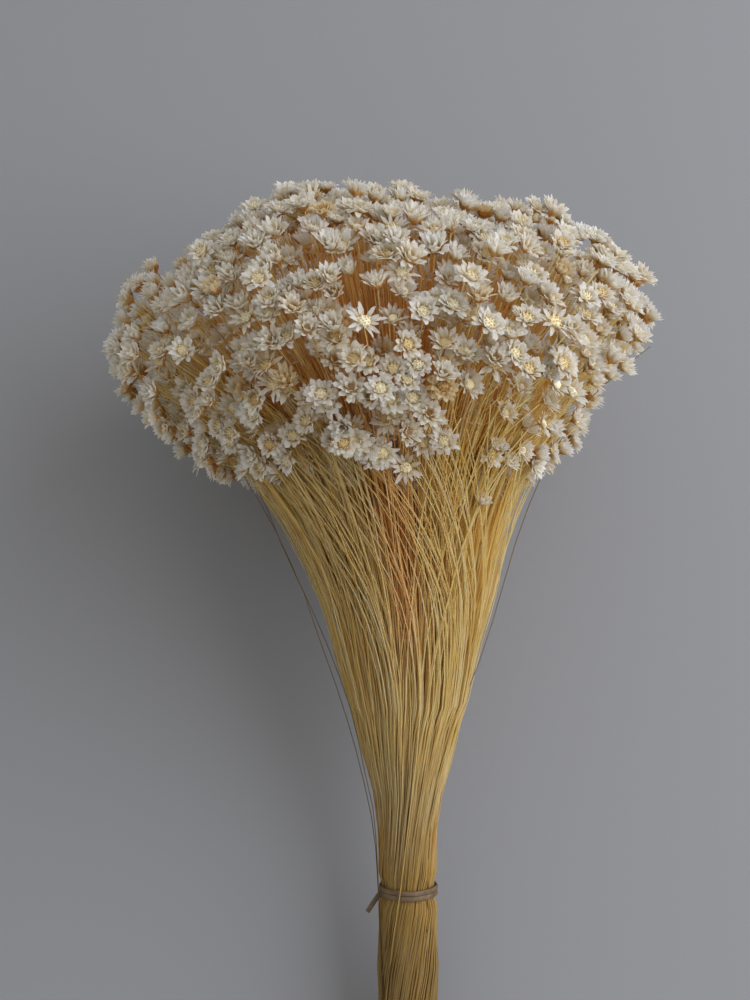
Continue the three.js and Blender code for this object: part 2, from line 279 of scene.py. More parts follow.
@dataclass
class Heads:
    """Flower heads as arrays, one row each, in the bunch frame before its lean.

    A head has its middle, its axis, its turn out from the bunch's axis, its spin about its own, a size near
    one, how far it is open, from 0 to 1, and its handful. The other sizes are in mm and degrees on a head of
    size one: its cup, its petals, how far they flare closed and opened, and its outline's corners.
    """

    middle: np.ndarray
    axis: np.ndarray
    turn: np.ndarray
    spin: np.ndarray
    size: np.ndarray
    open: np.ndarray
    spray: np.ndarray
    across: np.ndarray = field(init=False)
    along: np.ndarray = field(init=False)
    flare: np.ndarray = field(init=False)
    tip_radius: np.ndarray = field(init=False)
    tip_height: np.ndarray = field(init=False)

    cup_radius: float = 2.5
    cup_height: float = 2.8
    petal_length: float = 5.2
    flare_closed: float = 24
    flare_opened: float = 44
    corners: int = 5
    outer_layer: float = 1.06
    inner_layer: float = 0.94
    valley_out: float = 0.64
    valley_up: float = 0.66
    own: ClassVar[tuple[str, ...]] = ("middle", "axis", "turn", "spin", "size", "open", "spray")

    def __post_init__(self) -> None:
        """Works out each head's own directions and the reach of its petals."""
        side = unit(np.cross(np.array([0.0, 0.0, 1.0]), self.axis))
        self.across = times(side, np.cos(self.spin)) + times(np.cross(self.axis, side), np.sin(self.spin))
        self.along = np.cross(self.axis, self.across)
        self.flare = np.radians(self.flare_closed + self.flare_opened * self.open)
        self.tip_radius = self.cup_radius + self.petal_length * self.size * np.sin(self.flare)
        self.tip_height = self.cup_height + self.petal_length * self.size * np.cos(self.flare)

    def __len__(self) -> int:
        """Number of heads."""
        return len(self.middle)

    @property
    def base(self) -> np.ndarray:
        """Where each head sits on its stem."""
        return self.middle - times(self.axis, 0.5 * self.tip_height)

    def star(self) -> np.ndarray:
        """Corners of each head's outline, as an array of heads by corners by 3.

        They are petal tips, alternately in an outer and an inner layer, and the valleys between them.

        Returns:
            The corners.
        """
        step = np.arange(2 * self.corners)
        angle = step * math.pi / self.corners
        tip = step % 2 == 0
        layer = np.where(step % 4 == 0, self.outer_layer, self.inner_layer)
        reach = self.tip_radius[:, None] * np.where(tip, layer, self.valley_out)
        height = self.tip_height[:, None] * np.where(tip, 1 / layer, self.valley_up)
        return (
            self.base[:, None]
            + self.across[:, None] * (reach * np.cos(angle))[..., None]
            + self.along[:, None] * (reach * np.sin(angle))[..., None]
            + self.axis[:, None] * height[..., None]
        )

    def chosen(self, rows: np.ndarray) -> Heads:
        """Some of the heads."""
        return Heads(**{key: getattr(self, key)[rows] for key in self.own})

    @classmethod
    def joined(cls, parts: list[Heads]) -> Heads:
        """Several sets of heads as one."""
        return cls(**{key: np.concatenate([getattr(part, key) for part in parts]) for key in cls.own})


@dataclass(frozen=True)
class Planting:
    """Places the heads by seeded trial, the outer layer first, clear of each other and of all stems.

    Sizes are in mm and degrees. The spacing is a share of two heads' reach together, sparser is the share
    of trials that are kept at the very underside, and turn_out the share by which a head follows the dome's
    own direction. A stem's root lies up to root_spread off the axis, and split keeps each handful's heads
    and stems between its two sides.
    """

    bunch: Bunch
    layers: tuple[HeadLayer, ...] = (
        HeadLayer(-1, 12, 26, 128),
        HeadLayer(0, 9, math.inf, 150),
        HeadLayer(9, 24, math.inf, 56),
        HeadLayer(24, 42, math.inf, 8),
    )
    trials: int = 150_000
    sparser: float = 0.25
    spacing: float = 0.75
    head_clear: float = 5.4
    stem_clear: float = 0.88
    seed: int = 20_240_611
    turn_out: float = 0.64
    turn_uneven: float = 0.3
    least_size: float = 0.85
    more_size: float = 0.3
    sprays: int = 7
    spray_turn: float = 82
    spray_gap: float = 0.4
    touching: float = 1e-6
    stem_radius: float = 0.42
    root_spread: float = 19.8
    root_slope: float = 0.3
    root_clear: float = 1.0
    reach_from: float = 220
    reach_widest: float = 60
    bend: float = 0.62
    split: bool = True

    def spray_at(self, azimuth: np.ndarray) -> np.ndarray:
        """Number of the handful that each azimuth falls in."""
        turns = (azimuth - math.radians(self.spray_turn)) / (2 * math.pi)
        return np.floor((turns - np.floor(turns)) * self.sprays).astype(int)

    def sides(self, spray: np.ndarray) -> tuple[np.ndarray, np.ndarray]:
        """Azimuths of the two sides of each handful, in radians."""
        first = math.radians(self.spray_turn) + spray * 2 * math.pi / self.sprays
        return first, first + 2 * math.pi / self.sprays

    def curves(self, heads: Heads) -> np.ndarray:
        """Free part of each head's stem: a cubic curve from the gathered sheaf's end to the head's base.

        The root lies further out for a head further off the axis, and the curve leaves it with the sheaf's
        slope and meets the head along the dome's own direction there.

        Args:
            heads: The heads.

        Returns:
            Control points, as an array of heads by 4 by 3.
        """
        first, last = self.sides(heads.spray)
        lean = np.arctan2(off_axis(heads.middle), heads.middle[:, 1] - self.reach_from)
        share = np.minimum(1, lean / math.radians(self.reach_widest))
        outward = outward_at(azimuth_of(heads.base))
        root = outward_at((first + last) / 2) * (self.root_clear / math.sin(math.pi / self.sprays))
        root = root + times(outward, self.root_spread * share) + UP * self.bunch.core_end
        handle = np.linalg.norm(heads.base - root, axis=-1) / 3
        root_way = unit(times(outward, self.root_slope * share) + UP)
        head_way = times(outward, np.sin(heads.turn)) + np.cos(heads.turn)[:, None] * UP
        points = [root, root + times(root_way, handle), heads.base - times(head_way, handle), heads.base]
        return np.stack(points, axis=1)

    def candidates(self, layer: HeadLayer, seed: int) -> Heads:
        """All tried places of a layer that suit the dome, the surface and the handfuls, in order.

        Args:
            layer: The layer.
            seed: Start of its own random source.

        Returns:
            The heads that could stand there.
        """
        bunch, radius = self.bunch, self.bunch.dome_radius
        table = draws(seed, self.trials, 10)
        low = np.array([-radius, bunch.dome_y - bunch.dome_below, -radius])
        high = np.array([radius, bunch.dome_y + bunch.dome_above, radius])
        middle = low + (high - low) * table[:, :3]
        crowd = self.sparser + (middle[:, 2] + radius) / (2 * radius) * (1 - self.sparser)
        depth, above = bunch.depth(middle), bunch.above_rim(middle)
        good = (table[:, 9] <= crowd) & (depth >= layer.start) & (depth <= layer.end)
        good &= (above >= 0) & (above <= layer.below)
        table, middle = table[good], middle[good]
        up = middle[:, 1] - bunch.dome_y
        height = np.where(up > 0, bunch.dome_above, bunch.dome_below)
        turn = self.turn_out * np.arctan2(off_axis(middle) / radius, up / height)
        outward = outward_at(azimuth_of(middle))
        axis = times(outward, np.sin(turn)) + np.cos(turn)[:, None] * UP
        axis = unit(axis + (2 * table[:, 3:6] - 1) * self.turn_uneven)
        size, spin = self.least_size + self.more_size * table[:, 6], math.pi * table[:, 8]
        heads = Heads(middle, axis, turn, spin, size, table[:, 7], np.zeros(len(middle), int))
        lowest = bunch.height(heads.star()).min(axis=1)
        tilt = math.radians(bunch.tilt)
        upward = np.array([0, math.sin(tilt), math.cos(tilt)])
        heads.middle = middle + np.maximum(0, -bunch.pressed - lowest)[:, None] * upward
        heads.spray = self.spray_at(azimuth_of(heads.middle))
        heads = heads.chosen(lowest >= -bunch.lifted)
        return self.inside_sprays(heads) if self.split else heads

    def inside_sprays(self, heads: Heads) -> Heads:
        """Moves heads clear of their handful's two sides.

        Args:
            heads: The heads.

        Returns:
            The moved heads, without those that don't fit between the sides.
        """
        first, last = self.sides(heads.spray)
        normals = [outward_at(first + math.pi / 2), outward_at(last - math.pi / 2)]

        def outside(normal: np.ndarray) -> np.ndarray:
            """How far each head or its stem reaches over a side.

            Args:
                normal: Unit vectors square to the side, pointing into the handful.

            Returns:
                The distances in mm, 0 where it stands clear.
            """
            star = np.einsum("hcx,hx->hc", heads.star(), normal).min(axis=1)
            inside = np.minimum(star, dot(heads.base, normal) - self.stem_radius)
            return np.maximum(0, self.spray_gap / 2 - inside)

        for normal in normals:
            heads.middle = heads.middle + times(normal, outside(normal))
        fits = [outside(normal) <= self.touching for normal in normals]
        return heads.chosen(fits[0] & fits[1])

    def plant(self) -> Heads:
        """Takes each layer's candidates in order and keeps those that come too close to no earlier head.

        Returns:
            The heads of the whole bunch.
        """
        kept = []
        size = sum(layer.heads for layer in self.layers)
        middles, radii, lines = np.zeros((size, 3)), np.zeros(size), np.zeros((size, 3, 3))
        count = 0
        for index, layer in enumerate(self.layers):
            heads = self.candidates(layer, self.seed + index)
            curves = self.curves(heads)
            bends = bezier(curves, np.array([self.bend]))[:, 0]
            own = np.stack([curves[:, 0], bends, curves[:, 3]], axis=1)
            wanted = count + layer.heads
            rows = []
            for row in range(len(heads)):
                if count == wanted:
                    break
                middle, radius, line = heads.middle[row], heads.tip_radius[row], own[row]
                others, paths = middles[:count], lines[:count]
                apart = np.linalg.norm(others - middle, axis=1)
                if np.any(apart < self.spacing * (radii[:count] + radius)):
                    continue
                if self.passes(middle, line, others, paths):
                    continue
                middles[count], radii[count], lines[count] = middle, radius, line
                count += 1
                rows.append(row)
            kept.append(heads.chosen(np.array(rows)))
        return Heads.joined(kept)

    def passes(self, middle: np.ndarray, line: np.ndarray, others: np.ndarray, paths: np.ndarray) -> bool:
        """Whether a head's stem passes too near an earlier head or stem, or its head too near a stem.

        Args:
            middle: The head's middle.
            line: Root, bend and end of its stem.
            others: Middles of the earlier heads.
            paths: Roots, bends and ends of their stems.

        Returns:
            True if it does.
        """
        for part in (0, 1):
            if np.any(point_distance(others, line[part], line[part + 1]) < self.head_clear):
                return True
            if np.any(point_distance(middle, paths[:, part], paths[:, part + 1]) < self.head_clear):
                return True
        for part in (0, 1):
            for other in (0, 1):
                apart = segment_distance(line[part], line[part + 1], paths[:, other], paths[:, other + 1])
                if np.any(apart < self.stem_clear):
                    return True
        return False


@dataclass(frozen=True)
class Filling:
    """Lighter planting between the planted heads: more heads that close the dome, and stems without one.

    Sizes are in mm and degrees. The heads are moved off the even dome by a swell of swell_size and a step
    of their own, standing_out is the share of them that stand out further, by up to stand_out, and those
    left of left_x hang lower by left_drop. Bare stems end at depths within among, the first few, or under.
    """

    planting: Planting
    layers: tuple[HeadLayer, ...] = (
        HeadLayer(-1, 5, math.inf, 522),
        HeadLayer(5, 14, math.inf, 330),
        HeadLayer(14, 30, math.inf, 260),
        HeadLayer(30, 66, math.inf, 110),
    )
    spacing: float = 5.4
    sparser: float = 0.55
    inner_from: float = 10
    swell: float = 6.0
    swell_size: float = 17.0
    swell_phase: tuple[float, ...] = (0.4, 0.0, 1.0)
    step: float = 5.0
    inward: float = 0.45
    stand_out: float = 7.0
    standing_out: float = 0.1
    left_drop: float = 6.0
    left_x: tuple[float, float] = (-40, -80)
    bare_among: int = 36
    among: tuple[float, float] = (-2, 3)
    under: tuple[float, float] = (3, 52)
    lone: tuple[tuple[float, float, float], ...] = ((36.8, 266, 50), (32, 251, 41))
    lone_turn: float = 40
    lone_size: float = 0.75
    lone_open: float = 0.2
    seed: int = 515

    def sown(self, sparser: float) -> Planting:
        """The planting across the handfuls' sides, with another share of heads on the underside."""
        return replace(self.planting, sparser=sparser, split=False)

    def heads(self, planted: Heads) -> Heads:
        """More heads, each at least the spacing away from every other one.

        Args:
            planted: The heads that stand already.

        Returns:
            The new heads alone.
        """
        middles = planted.middle
        kept = []
        for index, layer in enumerate(self.layers):
            sparser = 1 if layer.start > self.inner_from else self.sparser
            heads = self.sown(sparser).candidates(layer, self.seed + index)
            rows = []
            for row, middle in enumerate(heads.middle):
                if len(rows) == layer.heads:
                    break
                if np.min(np.linalg.norm(middles - middle, axis=1)) >= self.spacing:
                    middles = np.vstack([middles, middle])
                    rows.append(row)
            kept.append(heads.chosen(np.array(rows)))
        return Heads.joined([*kept, self.lone_heads()])

    def lone_heads(self) -> Heads:
        """The few heads that stand alone on the flare's upper side.

        Returns:
            The heads.
        """
        middle = np.array(self.lone, float)
        count = len(middle)
        turn = np.full(count, math.radians(self.lone_turn))
        axis = unit(times(outward_at(azimuth_of(middle)), np.sin(turn)) + np.cos(turn)[:, None] * UP)
        size, opening = np.full(count, self.lone_size), np.full(count, self.lone_open)
        spray = self.planting.spray_at(azimuth_of(middle))
        return Heads(middle, axis, turn, np.arange(count) + 0.5, size, opening, spray)

    def stirred(self, heads: Heads) -> Heads:
        """Heads moved off the even dome along their own axes.

        The move is swell sin(x / a + p) sin(y / a + q) sin(z / a + r), with the swell's phases p, q and r,
        plus a step of the head's own, and a few stand out further. Those on the left also hang lower.

        Args:
            heads: The heads.

        Returns:
            The moved heads, with their petals standing as before.
        """
        chance = draws(self.seed + 30, len(heads), 2)
        swell = np.prod(np.sin(heads.middle / self.swell_size + np.array(self.swell_phase)), axis=1)
        move = self.swell * swell + self.step * (chance[:, 0] - self.inward)
        start, end = self.left_x
        left = np.clip((heads.middle[:, 0] - start) / (end - start), 0, 1)
        further = np.maximum(0, 1 - (1 - chance[:, 1]) / self.standing_out)
        move += self.stand_out * further * (1 - left)
        moved = heads.chosen(np.arange(len(heads)))
        moved.middle = heads.middle + times(heads.axis, move) - times(UP, self.left_drop * left)
        return moved

    def ends(self, count: int) -> Heads:
        """Places where bare stems end: a few among the heads, most under them.

        Args:
            count: Number of bare stems.

        Returns:
            The places, as heads that are never made.
        """
        sown = self.sown(1)
        among = sown.candidates(HeadLayer(*self.among, math.inf, count), self.seed + 8)
        under = sown.candidates(HeadLayer(*self.under, math.inf, count), self.seed + 9)
        first, rest = np.arange(self.bare_among), np.arange(count - self.bare_among)
        return Heads.joined([among.chosen(first), under.chosen(rest)])


def bezier(controls: np.ndarray, stations: np.ndarray) -> np.ndarray:
    """Points of cubic curves: (1-t)^3 A + 3 (1-t)^2 t B + 3 (1-t) t^2 C + t^3 D.

    Args:
        controls: Curves by 4 control points by 3.
        stations: Values of t from 0 to 1.

    Returns:
        Curves by stations by 3.
    """
    t = stations
    weights = np.stack([(1 - t) ** 3, 3 * (1 - t) ** 2 * t, 3 * (1 - t) * t**2, t**3], axis=-1)
    return np.einsum("sk,ckx->csx", weights, controls)


# ---- Shapes ----


@dataclass
class Shape:
    """Points in mm, faces by their number of corners, and named values at the points."""

    points: np.ndarray
    faces: list[np.ndarray]
    values: dict[str, np.ndarray] = field(default_factory=dict)

    @staticmethod
    def joined(shapes: list[Shape]) -> Shape:
        """Several shapes as one, with the values that the first one has.

        Args:
            shapes: The shapes.

        Returns:
            The one shape.
        """
        starts = np.cumsum([0] + [len(shape.points) for shape in shapes[:-1]])
        faces = [face + start for shape, start in zip(shapes, starts) for face in shape.faces]
        keys = shapes[0].values
        values = {key: np.concatenate([shape.values[key] for shape in shapes]) for key in keys}
        return Shape(np.concatenate([shape.points for shape in shapes]), faces, values)


def tube_faces(rings: int, sides: int, copies: int) -> list[np.ndarray]:
    """Faces of closed tubes whose points run ring by ring, each ring counter-clockwise seen from its end.

    Args:
        rings: Rings in a tube.
        sides: Points in a ring.
        copies: Number of tubes.

    Returns:
        The sides as quads, and the two caps of each tube.
    """
    ring, side = np.meshgrid(np.arange(rings - 1), np.arange(sides), indexing="ij")
    a, b = ring * sides + side, ring * sides + (side + 1) % sides
    quads = np.stack([a, b, b + sides, a + sides], axis=-1).reshape(-1, 4)
    caps = np.stack([np.arange(sides)[::-1], (rings - 1) * sides + np.arange(sides)])
    starts = np.arange(copies)[:, None, None] * rings * sides
    return [(faces + starts).reshape(-1, faces.shape[1]) for faces in (quads, caps)]


def pointed_faces(rings: int, sides: int, copies: int) -> list[np.ndarray]:
    """Faces of closed shapes whose points run ring by ring, as in tube_faces, with one tip point at the end.

    Args:
        rings: Rings in a shape.
        sides: Points in a ring.
        copies: Number of shapes.

    Returns:
        The sides as quads, the triangles round the tip, and the cap of the first ring.
    """
    ring, side = np.meshgrid(np.arange(rings - 1), np.arange(sides), indexing="ij")
    a, b = ring * sides + side, ring * sides + (side + 1) % sides
    quads = np.stack([a, b, b + sides, a + sides], axis=-1).reshape(-1, 4)
    last, step = (rings - 1) * sides, np.arange(sides)
    tip = np.stack([last + step, last + (step + 1) % sides, np.full(sides, rings * sides)], axis=-1)
    starts = np.arange(copies)[:, None, None] * (rings * sides + 1)
    return [(faces + starts).reshape(-1, faces.shape[1]) for faces in (quads, tip, step[None, ::-1])]


def tubes(paths: np.ndarray, radii: np.ndarray, sides: int, reference: np.ndarray) -> Shape:
    """Tubes along paths: each ring is point + radius * (cos * u + sin * v), square to the path.

    Args:
        paths: Tubes by stations by 3.
        radii: Radii by tube and station.
        sides: Points in a ring.
        reference: For each tube, a direction that its path never follows; u is its part square to the path.

    Returns:
        The tubes, closed at both ends, with the value "along", the share of the length, from 0 to 1.
    """
    way = unit(np.gradient(paths, axis=1))
    u = unit(reference[:, None] - times(way, dot(way, reference[:, None])))
    v = np.cross(way, u)
    angle = 2 * math.pi * np.arange(sides) / sides
    ring = u[:, :, None] * np.cos(angle)[:, None] + v[:, :, None] * np.sin(angle)[:, None]
    points = paths[:, :, None] + ring * radii[:, :, None, None]
    copies, rings = paths.shape[:2]
    gone = np.cumsum(np.linalg.norm(np.diff(paths, axis=1, prepend=paths[:, :1]), axis=-1), axis=1)
    along = per_point((gone / gone[:, -1:]).reshape(-1), sides)
    return Shape(points.reshape(-1, 3), tube_faces(rings, sides, copies), {"along": along})


def per_point(values: np.ndarray, points_each: int) -> np.ndarray:
    """Values of repeated shapes, repeated for every point of each."""
    return np.repeat(values, points_each)


def new_object(name: str, shape: Shape, bunch: Bunch, smooth: bool) -> bpy.types.Object:
    """Makes a Blender object at the origin from a shape of the bunch frame.

    What would reach under the surface is pressed flat on it: heights under the pressing height shrink as
    its exponential.

    Args:
        name: The piece's name.
        shape: The shape.
        bunch: The bunch that it belongs to.
        smooth: Whether its faces are shaded as one round surface.

    Returns:
        The object.
    """
    points = bunch.placed(shape.points)
    soft = bunch.pressed * MM
    low = points[:, 2] < soft
    points[low, 2] = soft * np.exp((points[low, 2] - soft) / soft)
    mesh = bpy.data.meshes.new(name)
    mesh.vertices.add(len(points))
    mesh.vertices.foreach_set("co", points.astype(np.float32).ravel())
    sizes = np.concatenate([np.full(len(faces), faces.shape[1]) for faces in shape.faces])
    corners = np.concatenate([faces.ravel() for faces in shape.faces])
    mesh.loops.add(len(corners))
    mesh.loops.foreach_set("vertex_index", corners.astype(np.int32))
    mesh.polygons.add(len(sizes))
    starts = np.concatenate([[0], np.cumsum(sizes)[:-1]])
    mesh.polygons.foreach_set("loop_start", starts.astype(np.int32))
    mesh.polygons.foreach_set("use_smooth", np.full(len(sizes), smooth))
    for key, values in shape.values.items():
        mesh.attributes.new(key, "FLOAT", "POINT").data.foreach_set("value", values.astype(np.float32))
    mesh.update(calc_edges=True)
    made = bpy.data.objects.new(name, mesh)
    bpy.context.scene.collection.objects.link(made)
    log.info("%s: %d faces", name, len(sizes))
    return made


# ---- Flower heads ----


class HeadKind(Enum):
    """How far a head has opened."""

    CROWN = "petals upright"
    DAISY = "petals spread in layers round a pale disc"
    STAR = "few long petals round a small brown disc"


@dataclass(frozen=True)
class Whorl:
    """One layer of petals on a head.

    Lengths, widths and places are in mm on a head of size 1. The petals leave the head at flare_share of its
    flare and end curl degrees further out. The higher pointed is, the blunter they end; cupped is how far
    their edges rise, as a share of their half width. The stations are shares of their length.
    """

    petals: int
    length: float
    width: float
    radius: float
    height: float
    flare_share: float
    curl: float
    pointed: float = 5.0
    cupped: float = 0.25
    stations: tuple[float, ...] = (0, 0.4, 0.8)


# Stations of petals that are seen from further off, or lie over each other
SHORT = (0, 0.6)


@dataclass(frozen=True)
class HeadForm:
    """Sizes of a flower head's parts, in mm and degrees on a head of size one, and shares for unevenness.

    opened gives how far heads of each kind are open, from 0 to 1. cup and disc are profiles of radius and
    height, and ribs the sides round the cup of an outer, a second and an inner head. A grain of the disc has
    rings of height and radius, and its tip.
    """

    whorls: dict[HeadKind, tuple[Whorl, ...]] = field(
        default_factory=lambda: {
            HeadKind.CROWN: (
                Whorl(11, 4.9, 2.3, 2.3, 2.0, 1.15, 26),
                Whorl(10, 4.8, 2.1, 1.9, 2.4, 0.75, 14, stations=SHORT),
                Whorl(7, 4.4, 1.8, 1.2, 2.7, 0.35, 8, stations=SHORT),
            ),
            HeadKind.DAISY: (
                Whorl(12, 4.3, 2.6, 2.4, 2.0, 1.12, 30),
                Whorl(11, 4.0, 2.4, 2.3, 2.4, 0.82, 22, stations=SHORT),
                Whorl(9, 3.1, 1.9, 2.1, 2.8, 0.5, 8, stations=SHORT),
            ),
            HeadKind.STAR: (
                Whorl(9, 5.7, 2.0, 2.2, 2.2, 1.05, 16, pointed=3.0),
                Whorl(9, 4.4, 1.7, 1.9, 2.6, 0.82, 12, pointed=3.0),
            ),
        }
    )
    opened: dict[HeadKind, tuple[float, float]] = field(
        default_factory=lambda: {
            HeadKind.CROWN: (0, 0.46),
            HeadKind.DAISY: (0.46, 0.94),
            HeadKind.STAR: (0.94, 1.01),
        }
    )
    second_whorls: tuple[Whorl, ...] = (
        Whorl(12, 4.7, 2.0, 2.3, 2.1, 1.05, 20, stations=SHORT),
        Whorl(9, 4.5, 1.9, 1.8, 2.6, 0.6, 10, stations=SHORT),
    )
    inner_whorls: tuple[Whorl, ...] = (Whorl(12, 4.9, 2.0, 1.9, 2.2, 0.9, 16, stations=SHORT),)
    scale: float = 0.93
    thickness: float = 0.12
    tip_thinner: float = 0.7
    edge: float = 0.03
    azimuth_uneven: float = 0.42
    start_least: float = 0.02
    start_uneven: float = 11
    curl_uneven: float = 0.9
    length_uneven: float = 0.18
    roll: float = 24
    twist: float = 34
    cup: tuple[tuple[float, float], ...] = ((0.25, -0.3), (0.6, 0.3), (1.8, 1.15), (2.5, 2.3), (0.3, 2.6))
    cup_rib: float = 0.1
    ribs: tuple[int, int, int] = (8, 6, 5)
    cup_bracts: Whorl = Whorl(6, 2.4, 2.4, 1.85, 1.1, 0.8, -24, stations=SHORT)
    disc: tuple[tuple[float, float], ...] = ((0.3, 2.2), (2.5, 2.6), (1.9, 3.2), (0.3, 3.5))
    disc_radius: float = 2.2
    disc_level: float = 2.8
    disc_bulge: float = 0.8
    disc_round: float = 1.3
    grains: int = 12
    grain_turn: float = 137.508
    grain_rings: tuple[tuple[float, float], ...] = ((-0.2, 0.36), (0.35, 0.44))
    grain_tip: float = 0.8
    grain_lean: float = 0.7
    seed: int = 71

    def of_kind(self, heads: Heads, kind: HeadKind) -> Heads:
        """Those heads that have opened as far as a kind has."""
        low, high = self.opened[kind]
        return heads.chosen(np.flatnonzero((heads.open >= low) & (heads.open < high)))

    def petals(self, heads: Heads, second: Heads, inner: Heads) -> Shape:
        """All petals of some heads, fewer on those deeper inside the dome.

        Args:
            heads: The outer heads.
            second: The heads under them.
            inner: The heads deep inside.

        Returns:
            The petals, as one shape.
        """
        sets = [(second, self.second_whorls), (inner, self.inner_whorls)]
        sets += [(self.of_kind(heads, kind), self.whorls[kind]) for kind in HeadKind]
        shapes = [
            self.whorl_shape(some, whorl, index)
            for some, whorls in sets
            for index, whorl in enumerate(whorls)
            if len(some)
        ]
        return Shape.joined(shapes)

    def whorl_shape(self, heads: Heads, whorl: Whorl, index: int) -> Shape:
        """One whorl on several heads.

        A petal's middle line turns outwards evenly from angle a to angle b off the head's axis, so after a
        share s of its length L it has gone L (cos a - cos t) / (b - a) outwards and L (sin t - sin a) /
        (b - a) upwards, where t is its angle there. Its section is a thin triangle: two edges raised to the
        inner side, and the middle of its outer face. Its half width is half the whorl's times
        (1 - s^pointed) (0.55 + 1.15 s - 0.55 s^2), which is widest at two thirds of its length, and it ends
        in one point.

        Args:
            heads: The heads.
            whorl: The layer of petals.
            index: Number of the whorl on the head, from the outside.

        Returns:
            The petals, with the values "along", "across", "petal" and "age".
        """
        count = len(heads) * whorl.petals
        chance = draws(self.seed + 13 * index + whorl.petals + int(1000 * heads.open.sum()), count, 7)
        uneven = 2 * chance - 1
        head = np.repeat(np.arange(len(heads)), whorl.petals)
        place = np.tile(np.arange(whorl.petals), len(heads))
        azimuth = place + 0.5 * (index % 2) + self.azimuth_uneven * uneven[:, 0]
        azimuth = 2 * math.pi * azimuth / whorl.petals
        size = self.scale * heads.size[head]
        start = heads.flare[head] * whorl.flare_share - math.radians(whorl.curl) / 2
        start = np.maximum(self.start_least, start + math.radians(self.start_uneven) * uneven[:, 1])
        turn = math.radians(whorl.curl) * (1 + self.curl_uneven * uneven[:, 2])
        length = whorl.length * size * (1 + self.length_uneven * uneven[:, 3])
        s = np.array(whorl.stations + (1,))
        angle = start[:, None] + turn[:, None] * s
        out = length[:, None] * (np.cos(start)[:, None] - np.cos(angle)) / turn[:, None]
        rise = length[:, None] * (np.sin(angle) - np.sin(start)[:, None]) / turn[:, None]
        radial = times(heads.across[head], np.cos(azimuth)) + times(heads.along[head], np.sin(azimuth))
        axis = heads.axis[head]
        side = np.cross(axis, radial)
        middle = (
            heads.base[head][:, None]
            + radial[:, None] * (self.scale * whorl.radius + out)[..., None]
            + axis[:, None] * (self.scale * whorl.height + rise)[..., None]
        )
        inner = axis[:, None] * np.sin(angle)[..., None] - radial[:, None] * np.cos(angle)[..., None]
        twist = math.radians(self.twist) * uneven[:, 6, None] * s
        roll = math.radians(self.roll) * uneven[:, 4, None] + twist
        breadth = side[:, None] * np.cos(roll)[..., None] + inner * np.sin(roll)[..., None]
        inner = inner * np.cos(roll)[..., None] - side[:, None] * np.sin(roll)[..., None]
        half = 0.5 * whorl.width * (1 - s**whorl.pointed) * (0.55 + 1.15 * s - 0.55 * s**2) + self.edge
        wide = half * size[:, None]
        thick = 0.5 * self.thickness * (1 - self.tip_thinner * s)
        edge = inner * (whorl.cupped * wide)[..., None]
        breadth = breadth * wide[..., None]
        section = [middle + breadth + edge, middle - breadth + edge, middle - inner * thick[:, None]]
        rings = np.stack(section, axis=2)[:, :-1].reshape(count, -1, 3)
        points = np.concatenate([rings, middle[:, -1:]], axis=1)
        each = points.shape[1]
        values = {
            "along": np.tile(np.append(np.repeat(s[:-1], 3), 1), count),
            "across": np.tile(np.append(np.tile((1, 0, 0.5), len(s) - 1), 0.5), count),
            "petal": per_point(chance[:, 5], each),
            "age": per_point(heads.spin[head] / math.pi, each),
        }
        return Shape(points.reshape(-1, 3), pointed_faces(len(s) - 1, 3, count), values)

    def lathe(self, heads: Heads, profile: np.ndarray, sides: int, ridge: float) -> Shape:
        """A profile of radii and heights turned round each head's axis, every other rib ridge further out.

        Args:
            heads: The heads.
            profile: Rows of radius and height in mm, from the stem up; both ends lie close to the axis.
            sides: Points round the axis.
            ridge: Share by which every other rib stands out.

        Returns:
            The closed shapes, with the values "along" and "age".
        """
        step = np.arange(sides)
        angle = 2 * math.pi * step / sides
        ribbed = 1 + ridge * (step % 2)
        radius = self.scale * profile[:, 0, None] * ribbed * heads.size[:, None, None]
        points = (
            heads.base[:, None, None]
            + heads.across[:, None, None] * (radius * np.cos(angle))[..., None]
            + heads.along[:, None, None] * (radius * np.sin(angle))[..., None]
            + heads.axis[:, None, None] * (self.scale * profile[:, 1, None, None])
        )
        rows = len(profile)
        along = np.broadcast_to(np.linspace(0, 1, rows)[None, :, None], points.shape[:3])
        values = {"along": along.reshape(-1), "age": per_point(heads.spin / math.pi, rows * sides)}
        return Shape(points.reshape(-1, 3), tube_faces(rows, sides, len(heads)), values)

    def cups(self, heads: Heads, second: Heads, inner: Heads) -> Shape:
        """The cone of fused bracts under each head, ribbed, with a ring of short pointed bracts on it.

        Args:
            heads: The outer heads.
            second: The heads under them, whose cones are plain.
            inner: The heads deep inside, whose cones are plainer still.

        Returns:
            The cones, as one shape.
        """
        profile = np.array(self.cup)
        outer, plain, plainer = self.ribs
        cone = self.lathe(heads, profile, outer, self.cup_rib)
        bracts = self.whorl_shape(heads, self.cup_bracts, 0)
        under = self.lathe(second, profile, plain, 0)
        deep = self.lathe(inner, profile[[0, 2, 4]], plainer, 0)
        return Shape.joined([cone, bracts, under, deep])

